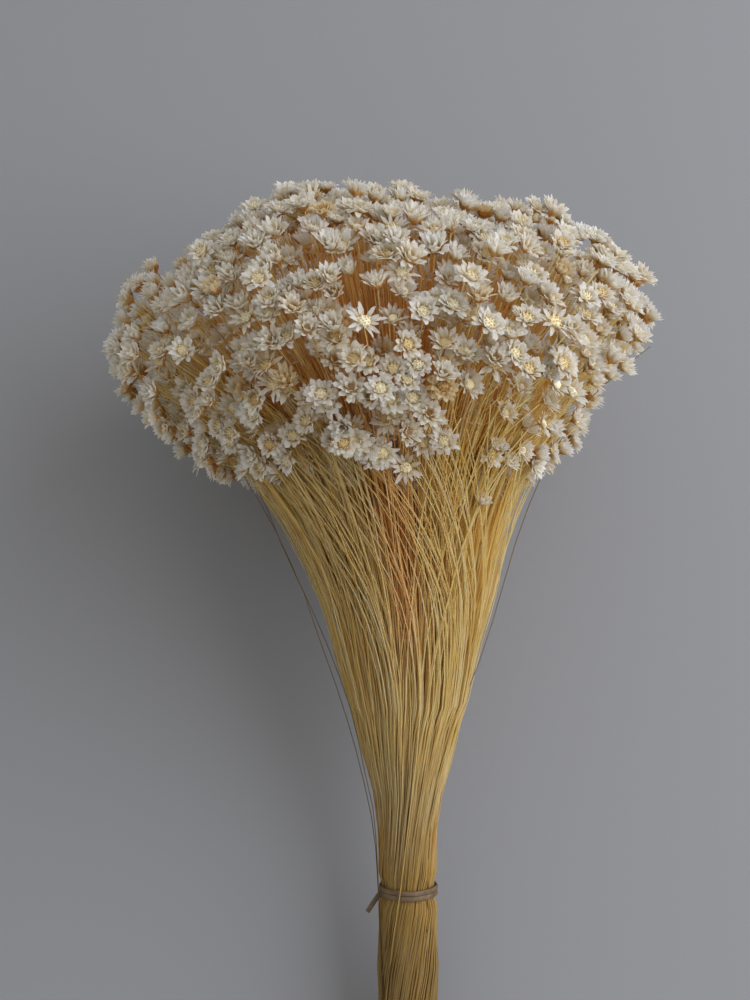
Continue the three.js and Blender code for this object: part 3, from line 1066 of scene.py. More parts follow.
    def discs(self, heads: Heads, second: Heads) -> Shape:
        """The florets in the middle of each open head: a low dome set with grains.

        The grains lie on a sunflower spiral, each a golden angle after the last at a radius that grows as
        the root of its number, and each is a small pointed spindle.

        Args:
            heads: The outer heads, of which the open ones get grains.
            second: The heads under them, whose domes are plain.

        Returns:
            The florets, as one shape.
        """
        heads = Heads.joined([self.of_kind(heads, HeadKind.DAISY), self.of_kind(heads, HeadKind.STAR)])
        profile = np.array(self.disc)
        outer, plain, _ = self.ribs
        low = [self.lathe(heads, profile, outer, 0), self.lathe(second, profile[1:], plain, 0)]
        number = np.arange(self.grains) + 0.5
        angle = (number * math.radians(self.grain_turn))[:, None]
        share = np.sqrt(number / self.grains)
        radial = heads.across[:, None] * np.cos(angle) + heads.along[:, None] * np.sin(angle)
        lift = self.scale * (self.disc_level + self.disc_bulge * np.cos(share * self.disc_round))
        reach = self.scale * self.disc_radius * share[:, None] * heads.size[:, None, None]
        foot = heads.base[:, None] + radial * reach + heads.axis[:, None] * lift[:, None]
        way = unit(heads.axis[:, None] + radial * (self.grain_lean * share)[:, None])
        side = unit(np.cross(way, radial))
        other = np.cross(way, side)
        rings = [
            foot + way * step + width * (side * math.cos(turn) + other * math.sin(turn))
            for step, width in self.grain_rings
            for turn in 2 * math.pi * np.arange(3) / 3
        ]
        points = np.stack([*rings, foot + way * self.grain_tip], axis=2).reshape(-1, 3)
        each = len(rings) + 1
        count = len(heads) * self.grains
        values = {
            "along": np.tile(np.append(np.repeat((0, 0.6), 3), 1), count),
            "age": per_point(heads.spin / math.pi, self.grains * each),
        }
        return Shape.joined([*low, Shape(points, pointed_faces(2, 3, count), values)])


# ---- Stems ----


def through(points: np.ndarray, stations: int) -> np.ndarray:
    """A smooth path through points: a Catmull-Rom curve.

    Between B and C, with A before and D after them, it is a cubic with handles (C - A) / 6 and (D - B) / 6.

    Args:
        points: Points by 3.
        stations: Number of points wanted.

    Returns:
        Points evenly divided along the path.
    """
    ends = np.concatenate([[2 * points[0] - points[1]], points, [2 * points[-1] - points[-2]]])
    a, b, c, d = ends[:-3], ends[1:-2], ends[2:-1], ends[3:]
    fine = bezier(np.stack([b, b + (c - a) / 6, c - (d - b) / 6, c], axis=1), np.linspace(0, 1, 9)[:-1])
    fine = np.concatenate([fine.reshape(-1, 3), points[-1:]])
    length = np.concatenate([[0], np.cumsum(np.linalg.norm(np.diff(fine, axis=0), axis=1))])
    places = np.linspace(0, length[-1], stations)
    return np.stack([np.interp(places, length, fine[:, k]) for k in range(3)], axis=-1)


@dataclass(frozen=True)
class StemForm:
    """Sizes of the straw stems, in mm and degrees, and how they run.

    full_radius is the sheaf's radius at the levels full_y, and outline that of the free stems. Stems twist
    about the axis by twist at twist_y, and each by up to swirl of its own at its cut end. A stem's radius is
    its taper times thinnest to thinnest + thicker. bare, crossing and lying are numbers of stems. A painted
    glow colours an orange stripe up the middle of the upper side, in place of light that shines through the
    stems there; its fields give the stripe's azimuth, half width, added depth and the rise over which it
    grows.
    """

    bunch: Bunch
    planting: Planting
    foot_radius: float = 0.27
    neck_radius: float = 0.23
    thinnest: float = 0.8
    thicker: float = 0.4
    full_y: tuple[float, ...] = (0, 30, 60, 84, 88.2, 93.8, 98, 114, 130, 145, 158, 168)
    full_radius: tuple[float, ...] = (12.9, 12.8, 12.6, 12.2, 10.8, 10.8, 12.0, 12.3, 14.2, 18.3, 22.0, 24.5)
    twist_y: tuple[float, ...] = (0, 91, 130, 168)
    twist: tuple[float, ...] = (105, 26, 6, 0)
    outline_y: tuple[float, ...] = (0, 168, 180, 192, 212, 230, 250, 270, 290, 319)
    outline: tuple[float, ...] = (12, 24.5, 27.2, 30, 35.8, 41.5, 50, 64, 90, 110)
    fullness: float = 1.11
    full_until: float = 245
    inner_y: tuple[float, ...] = (0, 60, 91, 130)
    cut_uneven: float = 4.5
    ripple: float = 0.04
    ripple_length: float = 70
    bare: int = 1650
    outer_bare: float = 0.8
    crossing: int = 105
    crossing_upper: float = 0.75
    crossing_from: float = 25
    crossing_over: float = 90
    crossing_turn: float = 30
    crossing_more: float = 26
    crossing_ease: float = 1.6
    crossing_back: float = 0.1
    back_turn: float = -0.7
    crossing_share: float = 0.985
    lying: int = 330
    lying_turn: float = 16
    lying_back: float = 0.4
    lying_share: float = 0.925
    share_uneven: float = 0.045
    flare_top: float = 258
    flare_top_more: float = 26
    wander: float = 1.1
    wave: float = 110
    other_wave: float = 0.8
    free_ease: float = 0.9
    root_least: float = 0.02
    root_jitter: float = 0.06
    bare_jitter: float = 0.12
    bare_inward: float = 0.6
    swirl: float = 24
    # Painted glow: an orange stripe up the middle of the upper side, in place of light shining through the
    # stems
    painted_glow_at: float = 93
    painted_glow_wide: float = 13
    painted_glow_depth: float = 0.3
    painted_glow_rise: float = 30
    free_stations: int = 10
    sides: int = 3
    seed: int = 4021

    def gathered(self, root: np.ndarray, chance: np.ndarray, at: tuple[float, ...]) -> np.ndarray:
        """Part of each stem inside the sheaf, from its cut end to just under the sheaf's end.

        Each point is the root scaled to the sheaf's radius at that level and turned about the axis by the
        twist there, and by a share of the swirl of its own that grows towards the cut end.

        Args:
            root: Where each stem leaves the sheaf's end.
            chance: Random numbers by stem, three or more columns.
            at: Levels of the points.

        Returns:
            Stems by levels by 3.
        """
        levels = np.array(at, float)
        y = np.broadcast_to(levels, (len(root), len(levels))).copy()
        y[:, 0] += self.cut_uneven * chance[:, 0]
        scale = np.interp(levels, self.full_y, self.full_radius) / self.root_reach
        twist = np.radians(np.interp(levels, self.twist_y, self.twist))
        fading = 1 - levels / self.bunch.core_end
        turn = math.radians(self.swirl) * (2 * chance[:, 1] - 1)[:, None] * fading
        azimuth = azimuth_of(root)[:, None] + twist + turn
        wave = np.sin(2 * math.pi * (levels / self.ripple_length + chance[:, 2:3]))
        ripple = 1 - self.ripple * (1 + wave)
        radius = off_axis(root)[:, None] * scale * ripple
        return np.stack([radius * np.cos(azimuth), y, radius * np.sin(azimuth)], axis=-1)

    @property
    def root_reach(self) -> float:
        """Largest distance of a stem's root from the axis."""
        planting = self.planting
        return planting.root_spread + planting.root_clear / math.sin(math.pi / planting.sprays)

    def freed(self, controls: np.ndarray, chance: np.ndarray, amount: float) -> np.ndarray:
        """Free parts of stems: cubic curves, filled out over the sheaf's end, with a slow wave.

        The wave moves a point off its curve sideways and fades out at both ends.

        Args:
            controls: Stems by 4 control points by 3.
            chance: Random numbers by stem, columns 2 and 3 of which set the wave.
            amount: Largest offset in mm.

        Returns:
            Stems by stations by 3.
        """
        t = np.linspace(0, 1, self.free_stations) ** self.free_ease
        free = bezier(controls, t)
        left = np.clip((self.full_until - free[..., 1]) / (self.full_until - self.bunch.core_end), 0, 1)
        fuller = 1 + (self.fullness - 1) * left * left * (3 - 2 * left)
        free = free * np.stack([fuller, np.ones_like(fuller), fuller], axis=-1)
        fade = amount * np.sin(math.pi * t)
        phase = 2 * math.pi * (free[..., 1] / self.wave + chance[:, 2:3])
        other = 2 * math.pi * (free[..., 1] / (self.other_wave * self.wave) + chance[:, 3:4])
        return free + np.stack([np.sin(phase) * fade, np.zeros_like(phase), np.sin(other) * fade], axis=-1)

    def rooted(self, heads: Heads, jitter: np.ndarray) -> np.ndarray:
        """Control points of the stems that lead to heads, rooted evenly all round the sheaf.

        Args:
            heads: The heads.
            jitter: Change of each root's distance from the axis, as a share of the sheaf's radius.

        Returns:
            Stems by 4 by 3.
        """
        controls = self.planting.curves(heads)
        share = np.clip(off_axis(controls[:, 0]) / self.root_reach + jitter, self.root_least, 1)
        root = times(outward_at(azimuth_of(heads.base)), self.root_reach * share) + UP * self.bunch.core_end
        controls[:, 1] += root - controls[:, 0]
        controls[:, 0] = root
        return controls

    def leading_to(self, heads: Heads) -> tuple[np.ndarray, np.ndarray]:
        """The stems that carry heads.

        Args:
            heads: The heads.

        Returns:
            Their paths, and their random numbers.
        """
        chance = draws(self.seed, len(heads), 4)
        controls = self.rooted(heads, self.root_jitter * (chance[:, 1] - 0.5))
        low = self.gathered(controls[:, 0], chance, self.full_y[:-1])
        return np.concatenate([low, self.freed(controls, chance, self.wander)], axis=1), chance

    def bare_ones(self, ends: Heads) -> list[tuple[np.ndarray, np.ndarray]]:
        """The stems that end without a head.

        Args:
            ends: Where they end.

        Returns:
            Paths and random numbers of the outer ones, then of the inner ones, which have fewer points in
            the sheaf, where they don't show.
        """
        chance = draws(self.seed + 1, len(ends), 4)
        controls = self.rooted(ends, self.bare_jitter * (chance[:, 1] - self.bare_inward))
        root = controls[:, 0]
        share = off_axis(root) / self.root_reach
        free = self.freed(controls, chance, self.wander)
        outer = share >= self.outer_bare
        made = []
        for rows, at in ((outer, self.full_y[:-1]), (~outer, self.inner_y)):
            low = self.gathered(root[rows], chance[rows], at)
            made.append((np.concatenate([low, free[rows]], axis=1), chance[rows]))
        return made

    def over_others(self) -> tuple[np.ndarray, np.ndarray]:
        """The stems that lie on the flare: the crossing ones run slantwise over the others.

        Each follows the flare's outline while its azimuth goes over to another one, slowly at first. Three in
        four crossing ones lie on the upper side, nearly all of them turn the same way, and they are paler.

        Returns:
            Their paths, and their random numbers.
        """
        count = self.crossing + self.lying
        chance = draws(self.seed + 5, count, 8)
        crossing = np.arange(count) < self.crossing
        upper = crossing & (chance[:, 4] < self.crossing_upper)
        from_side = self.crossing_from + self.crossing_over * chance[:, 5]
        azimuth = np.where(upper, from_side, 360 * chance[:, 5])
        side = np.where(chance[:, 6] > self.crossing_back, 1, self.back_turn)
        over = side * (self.crossing_turn + self.crossing_more * chance[:, 7])
        last = azimuth + np.where(crossing, over, self.lying_turn * (chance[:, 7] - self.lying_back))
        top = self.flare_top + self.flare_top_more * chance[:, 0]
        t = np.linspace(0, 1, self.free_stations)
        y = self.bunch.core_end + (top - self.bunch.core_end)[:, None] * t
        share = np.where(crossing, self.crossing_share, self.lying_share)[:, None]
        share = share + self.share_uneven * chance[:, 1:2]
        radius = np.interp(y, self.outline_y, self.outline) * share
        at = np.radians(azimuth[:, None] + (last - azimuth)[:, None] * t**self.crossing_ease)
        free = np.stack([radius * np.cos(at), y, radius * np.sin(at)], axis=-1)
        root = times(outward_at(np.radians(azimuth)), self.root_reach * np.minimum(share[:, 0], 1))
        chance[:, 2] = np.where(crossing, 0.5 + 0.5 * chance[:, 2], chance[:, 2])
        low = self.gathered(root, chance, self.full_y[:-1])
        return np.concatenate([low, free], axis=1), chance[:, :4]

    def strays(self) -> tuple[np.ndarray, np.ndarray]:
        """The few stems that stand off the sheaf, three of which get the darker lowest tone, a painted shade,
        and one that passes over the band.

        Each runs smoothly through a few points of the bunch frame.

        Returns:
            Their paths, and their random numbers.
        """
        given = (
            [(-9, 2, 9), (-10, 40, 8), (-11.6, 80, 5), (-12.4, 100, 4), (-13.5, 119, 4), (-14.7, 127, 5),
             (-18.4, 143, 6), (-22.9, 164, 7), (-33, 192, 8), (-45.2, 221, 10), (-55.2, 253, 14),
             (-61, 268, 18)],
            [(-8, 0, 9), (-9.5, 40, 9), (-12.6, 98, 2), (-14.4, 118, 3), (-20.4, 145, 4), (-27, 168, 6),
             (-38, 200, 9), (-50, 236, 12), (-62, 262, 16)],
            [(6, 1, 9), (7, 50, 9), (8, 104, 8), (10, 127, 9), (18.5, 160, 10), (29, 186, 9),
             (42, 225, 9), (60, 262, 9), (81, 290, 9), (107.5, 311, 9)],
            [(-14, 1, 5.5), (-10.2, 40, 8.6), (-6.2, 74, 10.9), (-4.2, 88, 12.3), (-3, 96, 12.4),
             (0, 122, 13.4), (3, 150, 20), (4, 176, 27), (2, 210, 35), (-6, 250, 49)],
        )
        stations = len(self.full_y) - 1 + self.free_stations
        paths = np.stack([through(np.array(points, float), stations) for points in given])
        chance = draws(self.seed + 8, len(given), 4)
        # The first three get the lowest tone, painted a darker grey-brown as shade, and the thinnest stems
        chance[:3, 2:] = 0
        return paths, chance

    def shape(self, paths: np.ndarray, chance: np.ndarray) -> Shape:
        """Stems along paths, thinner towards the head, with their values.

        Args:
            paths: Stems by stations by 3.
            chance: Random numbers by stem.

        Returns:
            The stems, with "along", "tone" from 0 to 1 by stem, and "deep", 0 outside and 1 on the axis,
            which the straw's colour turns into a painted glow; those in the upper side's middle count as
            deeper, for a painted glow stripe there.
        """
        stations = paths.shape[1]
        taper = np.linspace(self.foot_radius, self.neck_radius, stations)
        radii = taper * (self.thinnest + self.thicker * chance[:, 3:4])
        outward = outward_at(azimuth_of(paths[:, stations // 2]))
        made = tubes(paths, radii, self.sides, np.cross(UP, outward))
        y = paths[..., 1]
        sheaf = np.interp(y, self.full_y, self.full_radius)
        limit = np.where(y < self.bunch.core_end, sheaf, np.interp(y, self.outline_y, self.outline))
        # Depth in the sheaf, which the straw's colour turns into a painted glow
        deep = np.clip(1 - off_axis(paths) / limit, 0, 1)
        # Painted glow stripe: stems up the middle of the upper side count as deeper
        middle = np.exp(-(((np.degrees(azimuth_of(paths)) - self.painted_glow_at) / self.painted_glow_wide) ** 2))
        deep += self.painted_glow_depth * middle * np.clip((y - self.bunch.core_end) / self.painted_glow_rise, 0, 1)
        made.values["deep"] = np.repeat(deep.reshape(-1), self.sides)
        made.values["tone"] = per_point(chance[:, 2], stations * self.sides)
        return made


# ---- Rubber band ----


@dataclass(frozen=True)
class RubberBand:
    """A flat natural-rubber band wound twice round the stems, in mm and degrees.

    The turns start overlap degrees past the loop's end, and cross over at the back, the faster the steeper.
    """

    bunch: Bunch
    inner: float = 10.95
    thickness: float = 1.0
    turn: float = 2.0
    pitch: float = 2.05
    overlap: float = 20
    steep: float = 60
    uneven: float = 0.12
    end_azimuth: float = 186
    end_level: float = -2.2
    end_reach: float = 5.2
    end_drop: float = 7.6
    end_spread: float = 1.5
    end_section: tuple[float, float] = (1.9, 1.2)
    end_sunk: float = 0.2
    corners: int = 12
    corner_round: float = 0.55
    stations: tuple[int, int] = (130, 30)

    def strip(self, path: np.ndarray, wide: float, thick: float, outward: np.ndarray) -> Shape:
        """A strip with a rounded-oblong section along a path, its flat side facing outwards.

        The section is a superellipse: x = t |cos|^p, y = w |sin|^p, with their signs, where t and w are half
        the thickness and the width and p is corner_round.

        Args:
            path: Points along the strip.
            wide: Width of its flat side.
            thick: Its thickness.
            outward: Way that its flat side faces, by point.

        Returns:
            The strip, closed at both ends, with the value "across", the share of the way round its section.
        """
        way = unit(np.gradient(path, axis=0))
        face = unit(outward - times(way, dot(way, outward)))
        side = np.cross(way, face)
        angle = 2 * math.pi * (np.arange(self.corners) + 0.5) / self.corners
        x = thick / 2 * np.sign(np.cos(angle)) * np.abs(np.cos(angle)) ** self.corner_round
        y = wide / 2 * np.sign(np.sin(angle)) * np.abs(np.sin(angle)) ** self.corner_round
        points = path[:, None] + face[:, None] * x[:, None] + side[:, None] * y[:, None]
        across = np.broadcast_to(angle / (2 * math.pi), points.shape[:2])
        faces = tube_faces(len(path), self.corners, 1)
        return Shape(points.reshape(-1, 3), faces, {"across": across.reshape(-1)})

    def shape(self) -> Shape:
        """The two turns, as one winding, and the loop's end.

        The winding's level goes from one turn to the other as 1 / (1 + exp(-steep (s - 1/2))), and its radius
        wavers by two sines of the azimuth. The end goes out and down as powers of sin(pi s), close to one.

        Returns:
            The band, closed at its ends.
        """
        turned, looped = self.stations
        steps = np.linspace(0, 1, turned)
        azimuth = math.radians(self.end_azimuth + self.overlap) + 4 * math.pi * steps
        middle = self.inner + self.thickness / 2
        level = self.bunch.tie_y + self.pitch * (1 / (1 + np.exp(-(steps - 0.5) * self.steep)) - 0.5)
        uneven = self.uneven * (np.sin(5 * azimuth + 1) + 2 / 3 * np.sin(11 * azimuth))
        winding = times(outward_at(azimuth), middle + uneven) + level[:, None] * UP
        turns = self.strip(winding, self.turn, self.thickness, outward_at(azimuth))
        s = np.linspace(0, 1, looped)
        bow = np.sin(math.pi * s)
        out = outward_at(np.array([math.radians(self.end_azimuth)]))[0]
        side = np.cross(UP, out)
        reach = middle - self.end_sunk + self.end_reach * bow**0.85
        drop = self.end_drop * bow**0.95 - self.end_level
        loop = reach[:, None] * out + (self.bunch.tie_y - drop)[:, None] * UP
        loop = loop + (self.end_spread * (s - 0.5))[:, None] * side
        end = self.strip(loop, *self.end_section, np.broadcast_to(side, loop.shape))
        return Shape.joined([turns, end])


# ---- Finishes ----


def linear(colour: str) -> tuple[float, float, float, float]:
    """An sRGB hex colour as linear light: c / 12.92 near black, else ((c + 0.055) / 1.055)^2.4.

    Args:
        colour: The colour, as "#RRGGBB".

    Returns:
        Red, green, blue and alpha.
    """
    parts = [int(colour[i : i + 2], 16) / 255 for i in (1, 3, 5)]
    red, green, blue = (c / 12.92 if c <= 0.04045 else ((c + 0.055) / 1.055) ** 2.4 for c in parts)
    return red, green, blue, 1.0


def add_node(
    tree: bpy.types.NodeTree,
    kind: str,
    inputs: dict[str | int, Any],
    output: str | int = 0,
    stops: Stops = (),
    **settings: Any,
) -> bpy.types.NodeSocket | None:
    """Adds a shader node with its settings and links.

    Args:
        tree: The node tree.
        kind: The node's type, without the "ShaderNode" before it.
        inputs: By socket name or number, a value, or another node's output to link.
        output: Name or number of the output to give back.
        stops: For a colour ramp, its places and colours.
        settings: The node's own settings.

    Returns:
        The output, or None where the node has none.
    """
    node = tree.nodes.new("ShaderNode" + kind)
    for key, value in settings.items():
        setattr(node, key, value)
    for key, value in inputs.items():
        if isinstance(value, bpy.types.NodeSocket):
            tree.links.new(value, node.inputs[key])
        else:
            node.inputs[key].default_value = value
    if stops:
        elements = node.color_ramp.elements
        while len(elements) < len(stops):
            elements.new(1)
        for element, (place, colour) in zip(elements, stops):
            element.position = place
            element.color = linear(colour)
    return node.outputs[output] if len(node.outputs) else None


def new_material(name: str) -> tuple[bpy.types.Material, bpy.types.NodeTree]:
    """Makes an empty material.

    Args:
        name: Its name.

    Returns:
        The material, and its node tree.
    """
    material = bpy.data.materials.new(name)
    material.use_nodes = True
    material.node_tree.nodes.clear()
    return material, material.node_tree


def finish_thin(
    tree: bpy.types.NodeTree, colour: bpy.types.NodeSocket, through: float, skin: dict[str | int, Any]
) -> None:
    """Ends the material of a thin dry skin: part of the light comes back off it and part shines through.

    Args:
        tree: The node tree.
        colour: The skin's colour.
        through: Share of the light that shines through.
        skin: Further inputs of the Principled shader; its normal also serves for the light shining through.
    """
    bent = {key: value for key, value in skin.items() if key == "Normal"}
    surface = add_node(tree, "BsdfPrincipled", {"Base Color": colour, **skin})
    light = add_node(tree, "BsdfTranslucent", {"Color": colour, **bent})
    mixed = add_node(tree, "MixShader", {0: through, 1: surface, 2: light})
    add_node(tree, "OutputMaterial", {"Surface": mixed})


@dataclass(frozen=True)
class PaperyBract:
    """Dried everlasting petals: thin, silvery-white and see-through as tissue, amber at the foot.

    The eye sees a satin sheen along the petal, faint lengthwise veins and light shining through. Real veins
    stand closer than 7 to a petal of 2 mm, and are drawn as coarse as they have to be to show. vein_depth
    is in mm.
    """

    name: str = "dried_petal_tissue"
    veins: float = 7
    vein_depth: float = 0.08
    through: float = 0.66
    tissue: Stops = (
        (0.0, "#F0E0B4"),
        (0.12, "#F7EED4"),
        (0.34, "#FBF8F0"),
        (0.7, "#FDFDFB"),
        (1.0, "#FAFBFD"),
    )
    tint: Stops = ((0.0, "#F6F1E6"), (0.3, "#FDFCFA"), (1.0, "#FFFFFF"))
    aged: Stops = ((0.0, "#FFFFFF"), (0.93, "#FFFDF8"), (0.98, "#F8EDD2"), (1.0, "#F1E0BC"))

    def build(self) -> bpy.types.Material:
        """Makes the material.

        Returns:
            The material.
        """
        material, tree = new_material(self.name)
        along, across, petal, age = (
            add_node(tree, "Attribute", {}, "Fac", attribute_name=name)
            for name in ("along", "across", "petal", "age")
        )
        colour = add_node(tree, "ValToRGB", {0: along}, stops=self.tissue)
        for source, stops in ((petal, self.tint), (age, self.aged)):
            shade = add_node(tree, "ValToRGB", {0: source}, stops=stops)
            colour = add_node(tree, "Mix", {0: 1.0, 6: colour, 7: shade}, 2, **TINT)
        lines = add_node(tree, "Math", {0: across, 1: 2 * math.pi * self.veins}, operation="MULTIPLY")
        wave = add_node(tree, "Math", {0: lines}, operation="SINE")
        bump = add_node(tree, "Bump", {"Strength": 0.35, "Distance": self.vein_depth * MM, "Height": wave})
        satin = {"Roughness": 0.4, "IOR": 1.46, "Specular IOR Level": 0.55, "Sheen Weight": 0.15}
        finish_thin(tree, colour, self.through, {**satin, "Normal": bump})
        return material


@dataclass(frozen=True)
class AmberBract:
    """The horny brown bracts that form the cup: glossy amber, paler and thinner at their tips."""

    name: str = "amber_bract"
    through: float = 0.55
    horn: Stops = ((0.0, "#D29C50"), (0.35, "#E8BC6C"), (0.7, "#F2D696"), (1.0, "#F8EBC8"))
    aged: Stops = ((0.0, "#D9C49C"), (0.5, "#FFFFFF"), (1.0, "#E8C68A"))

    def build(self) -> bpy.types.Material:
        """Makes the material.

        Returns:
            The material.
        """
        material, tree = new_material(self.name)
        along = add_node(tree, "Attribute", {}, "Fac", attribute_name="along")
        age = add_node(tree, "Attribute", {}, "Fac", attribute_name="age")
        horn = add_node(tree, "ValToRGB", {0: along}, stops=self.horn)
        shade = add_node(tree, "ValToRGB", {0: age}, stops=self.aged)
        colour = add_node(tree, "Mix", {0: 1.0, 6: horn, 7: shade}, 2, **TINT)
        finish_thin(tree, colour, self.through, {"Roughness": 0.42, "IOR": 1.5})
        return material


@dataclass(frozen=True)
class DryFloret:
    """Dry tube florets: matt, fluffy, pale yellow, browned on old heads."""

    name: str = "dry_floret"
    aged: Stops = ((0.0, "#F2E8C8"), (0.6, "#ECDCAE"), (0.88, "#DDC288"), (1.0, "#B8925A"))

    def build(self) -> bpy.types.Material:
        """Makes the material.

        Returns:
            The material.
        """
        material, tree = new_material(self.name)
        age = add_node(tree, "Attribute", {}, "Fac", attribute_name="age")
        colour = add_node(tree, "ValToRGB", {0: age}, stops=self.aged)
        surface = add_node(tree, "BsdfPrincipled", {"Base Color": colour, "Roughness": 0.85})
        add_node(tree, "OutputMaterial", {"Surface": surface})
        return material


@dataclass(frozen=True)
class DryStraw:
    """Dried flower stems: smooth pale-yellow straw with a soft sheen, and a painted glow of warmer orange
    deep inside the sheaf.

    The colour changes slowly along each stem of the given length, in stains of a patch's length, both in
    mm, and differently on each stem, because their tones lie far apart in the pattern. Painted shade makes
    the stems duller and browner towards their cut ends, below the band. The few stems of the lowest tone
    are painted a darker grey-brown, as thin stems look in shade.
    """

    name: str = "dry_straw"
    patch: float = 14.0
    length: float = 330.0
    tones_apart: float = 500.0
    through: float = 0.74
    # Depths over which the painted glow colour takes over from the straw colour
    inside: tuple[float, float] = (0.06, 0.5)
    straw: Stops = (
        # The lowest tone is a darker grey-brown: painted shade for the strays and the few other stems of that
        # tone
        (0.0, "#B4A27F"),
        (0.03, "#FAE2A0"),
        (0.3, "#FDEDB4"),
        (0.65, "#FEF4C8"),
        (1.0, "#FFFAE2"),
    )
    # Painted glow: warmer orange for stems deep in the sheaf and up the middle of its upper side
    inner: Stops = ((0.0, "#FFD588"), (0.5, "#FFDE9E"), (1.0, "#FFE9B8"))
    stain: Stops = ((0.3, "#F6ECD4"), (0.6, "#FFFFFF"))
    # Painted shade: duller and browner towards the cut ends
    painted_foot_shade: Stops = (
        (0.0, "#D0BE98"),
        (0.23, "#DAC9A4"),
        (0.28, "#E6D8B6"),
        (0.4, "#F4ECD8"),
        (0.55, "#FFFEFA"),
    )

    def build(self) -> bpy.types.Material:
        """Makes the material.

        Returns:
            The material.
        """
        material, tree = new_material(self.name)
        tone, deep, along = (
            add_node(tree, "Attribute", {}, "Fac", attribute_name=name)
            for name in ("tone", "deep", "along")
        )
        straw = add_node(tree, "ValToRGB", {0: tone}, stops=self.straw)
        inner = add_node(tree, "ValToRGB", {0: tone}, stops=self.inner)
        # Mixes in the painted glow by each stem's depth in the sheaf
        start, end = self.inside
        share = add_node(tree, "MapRange", {0: deep, 1: start, 2: end}, interpolation_type="SMOOTHSTEP")
        colour = add_node(tree, "Mix", {0: share, 6: straw, 7: inner}, 2, data_type="RGBA")
        stretched = add_node(tree, "Math", {0: along, 1: self.length / self.patch}, operation="MULTIPLY")
        apart = add_node(tree, "Math", {0: tone, 1: self.tones_apart}, operation="MULTIPLY")
        place = add_node(tree, "CombineXYZ", {0: stretched, 1: apart})
        mottle = add_node(tree, "TexNoise", {"Vector": place, "Scale": 1.0, "Detail": 2.0}, "Fac")
        # Real stains along the stems, then the painted shade towards their cut ends
        for source, stops in ((mottle, self.stain), (along, self.painted_foot_shade)):
            shade = add_node(tree, "ValToRGB", {0: source}, stops=stops)
            colour = add_node(tree, "Mix", {0: 1.0, 6: colour, 7: shade}, 2, **TINT)
        finish_thin(tree, colour, self.through, {"Roughness": 0.5, "IOR": 1.5})
        return material


@dataclass(frozen=True)
class NaturalRubber:
    """Aged natural rubber: beige-brown and dull, with a dusty bloom and fine lines along the strip.

    The eye sees paler patches, and lines left by the cutter. Patch and line_depth are in mm, and lines is
    their number round the strip. Real lines stand closer, and are drawn as coarse as they have to be to show.
    """

    name: str = "natural_rubber"
    patch: float = 2.5
    lines: float = 16
    line_depth: float = 0.05
    bloom: Stops = ((0.3, "#574530"), (0.55, "#695439"), (0.8, "#7C6646"))

    def build(self) -> bpy.types.Material:
        """Makes the material.

        Returns:
            The material.
        """
        material, tree = new_material(self.name)
        place = add_node(tree, "TexCoord", {}, "Object")
        cloud = {"Vector": place, "Scale": 1 / (self.patch * MM), "Detail": 3.0}
        colour = add_node(tree, "ValToRGB", {0: add_node(tree, "TexNoise", cloud, "Fac")}, stops=self.bloom)
        across = add_node(tree, "Attribute", {}, "Fac", attribute_name="across")
        lines = add_node(tree, "Math", {0: across, 1: 2 * math.pi * self.lines}, operation="MULTIPLY")
        wave = add_node(tree, "Math", {0: lines}, operation="SINE")
        bump = add_node(tree, "Bump", {"Strength": 0.3, "Distance": self.line_depth * MM, "Height": wave})
        rubber = {"Base Color": colour, "Roughness": 0.55, "IOR": 1.52, "Normal": bump}
        surface = add_node(tree, "BsdfPrincipled", rubber)
        add_node(tree, "OutputMaterial", {"Surface": surface})
        return material


# ---- Studio ----


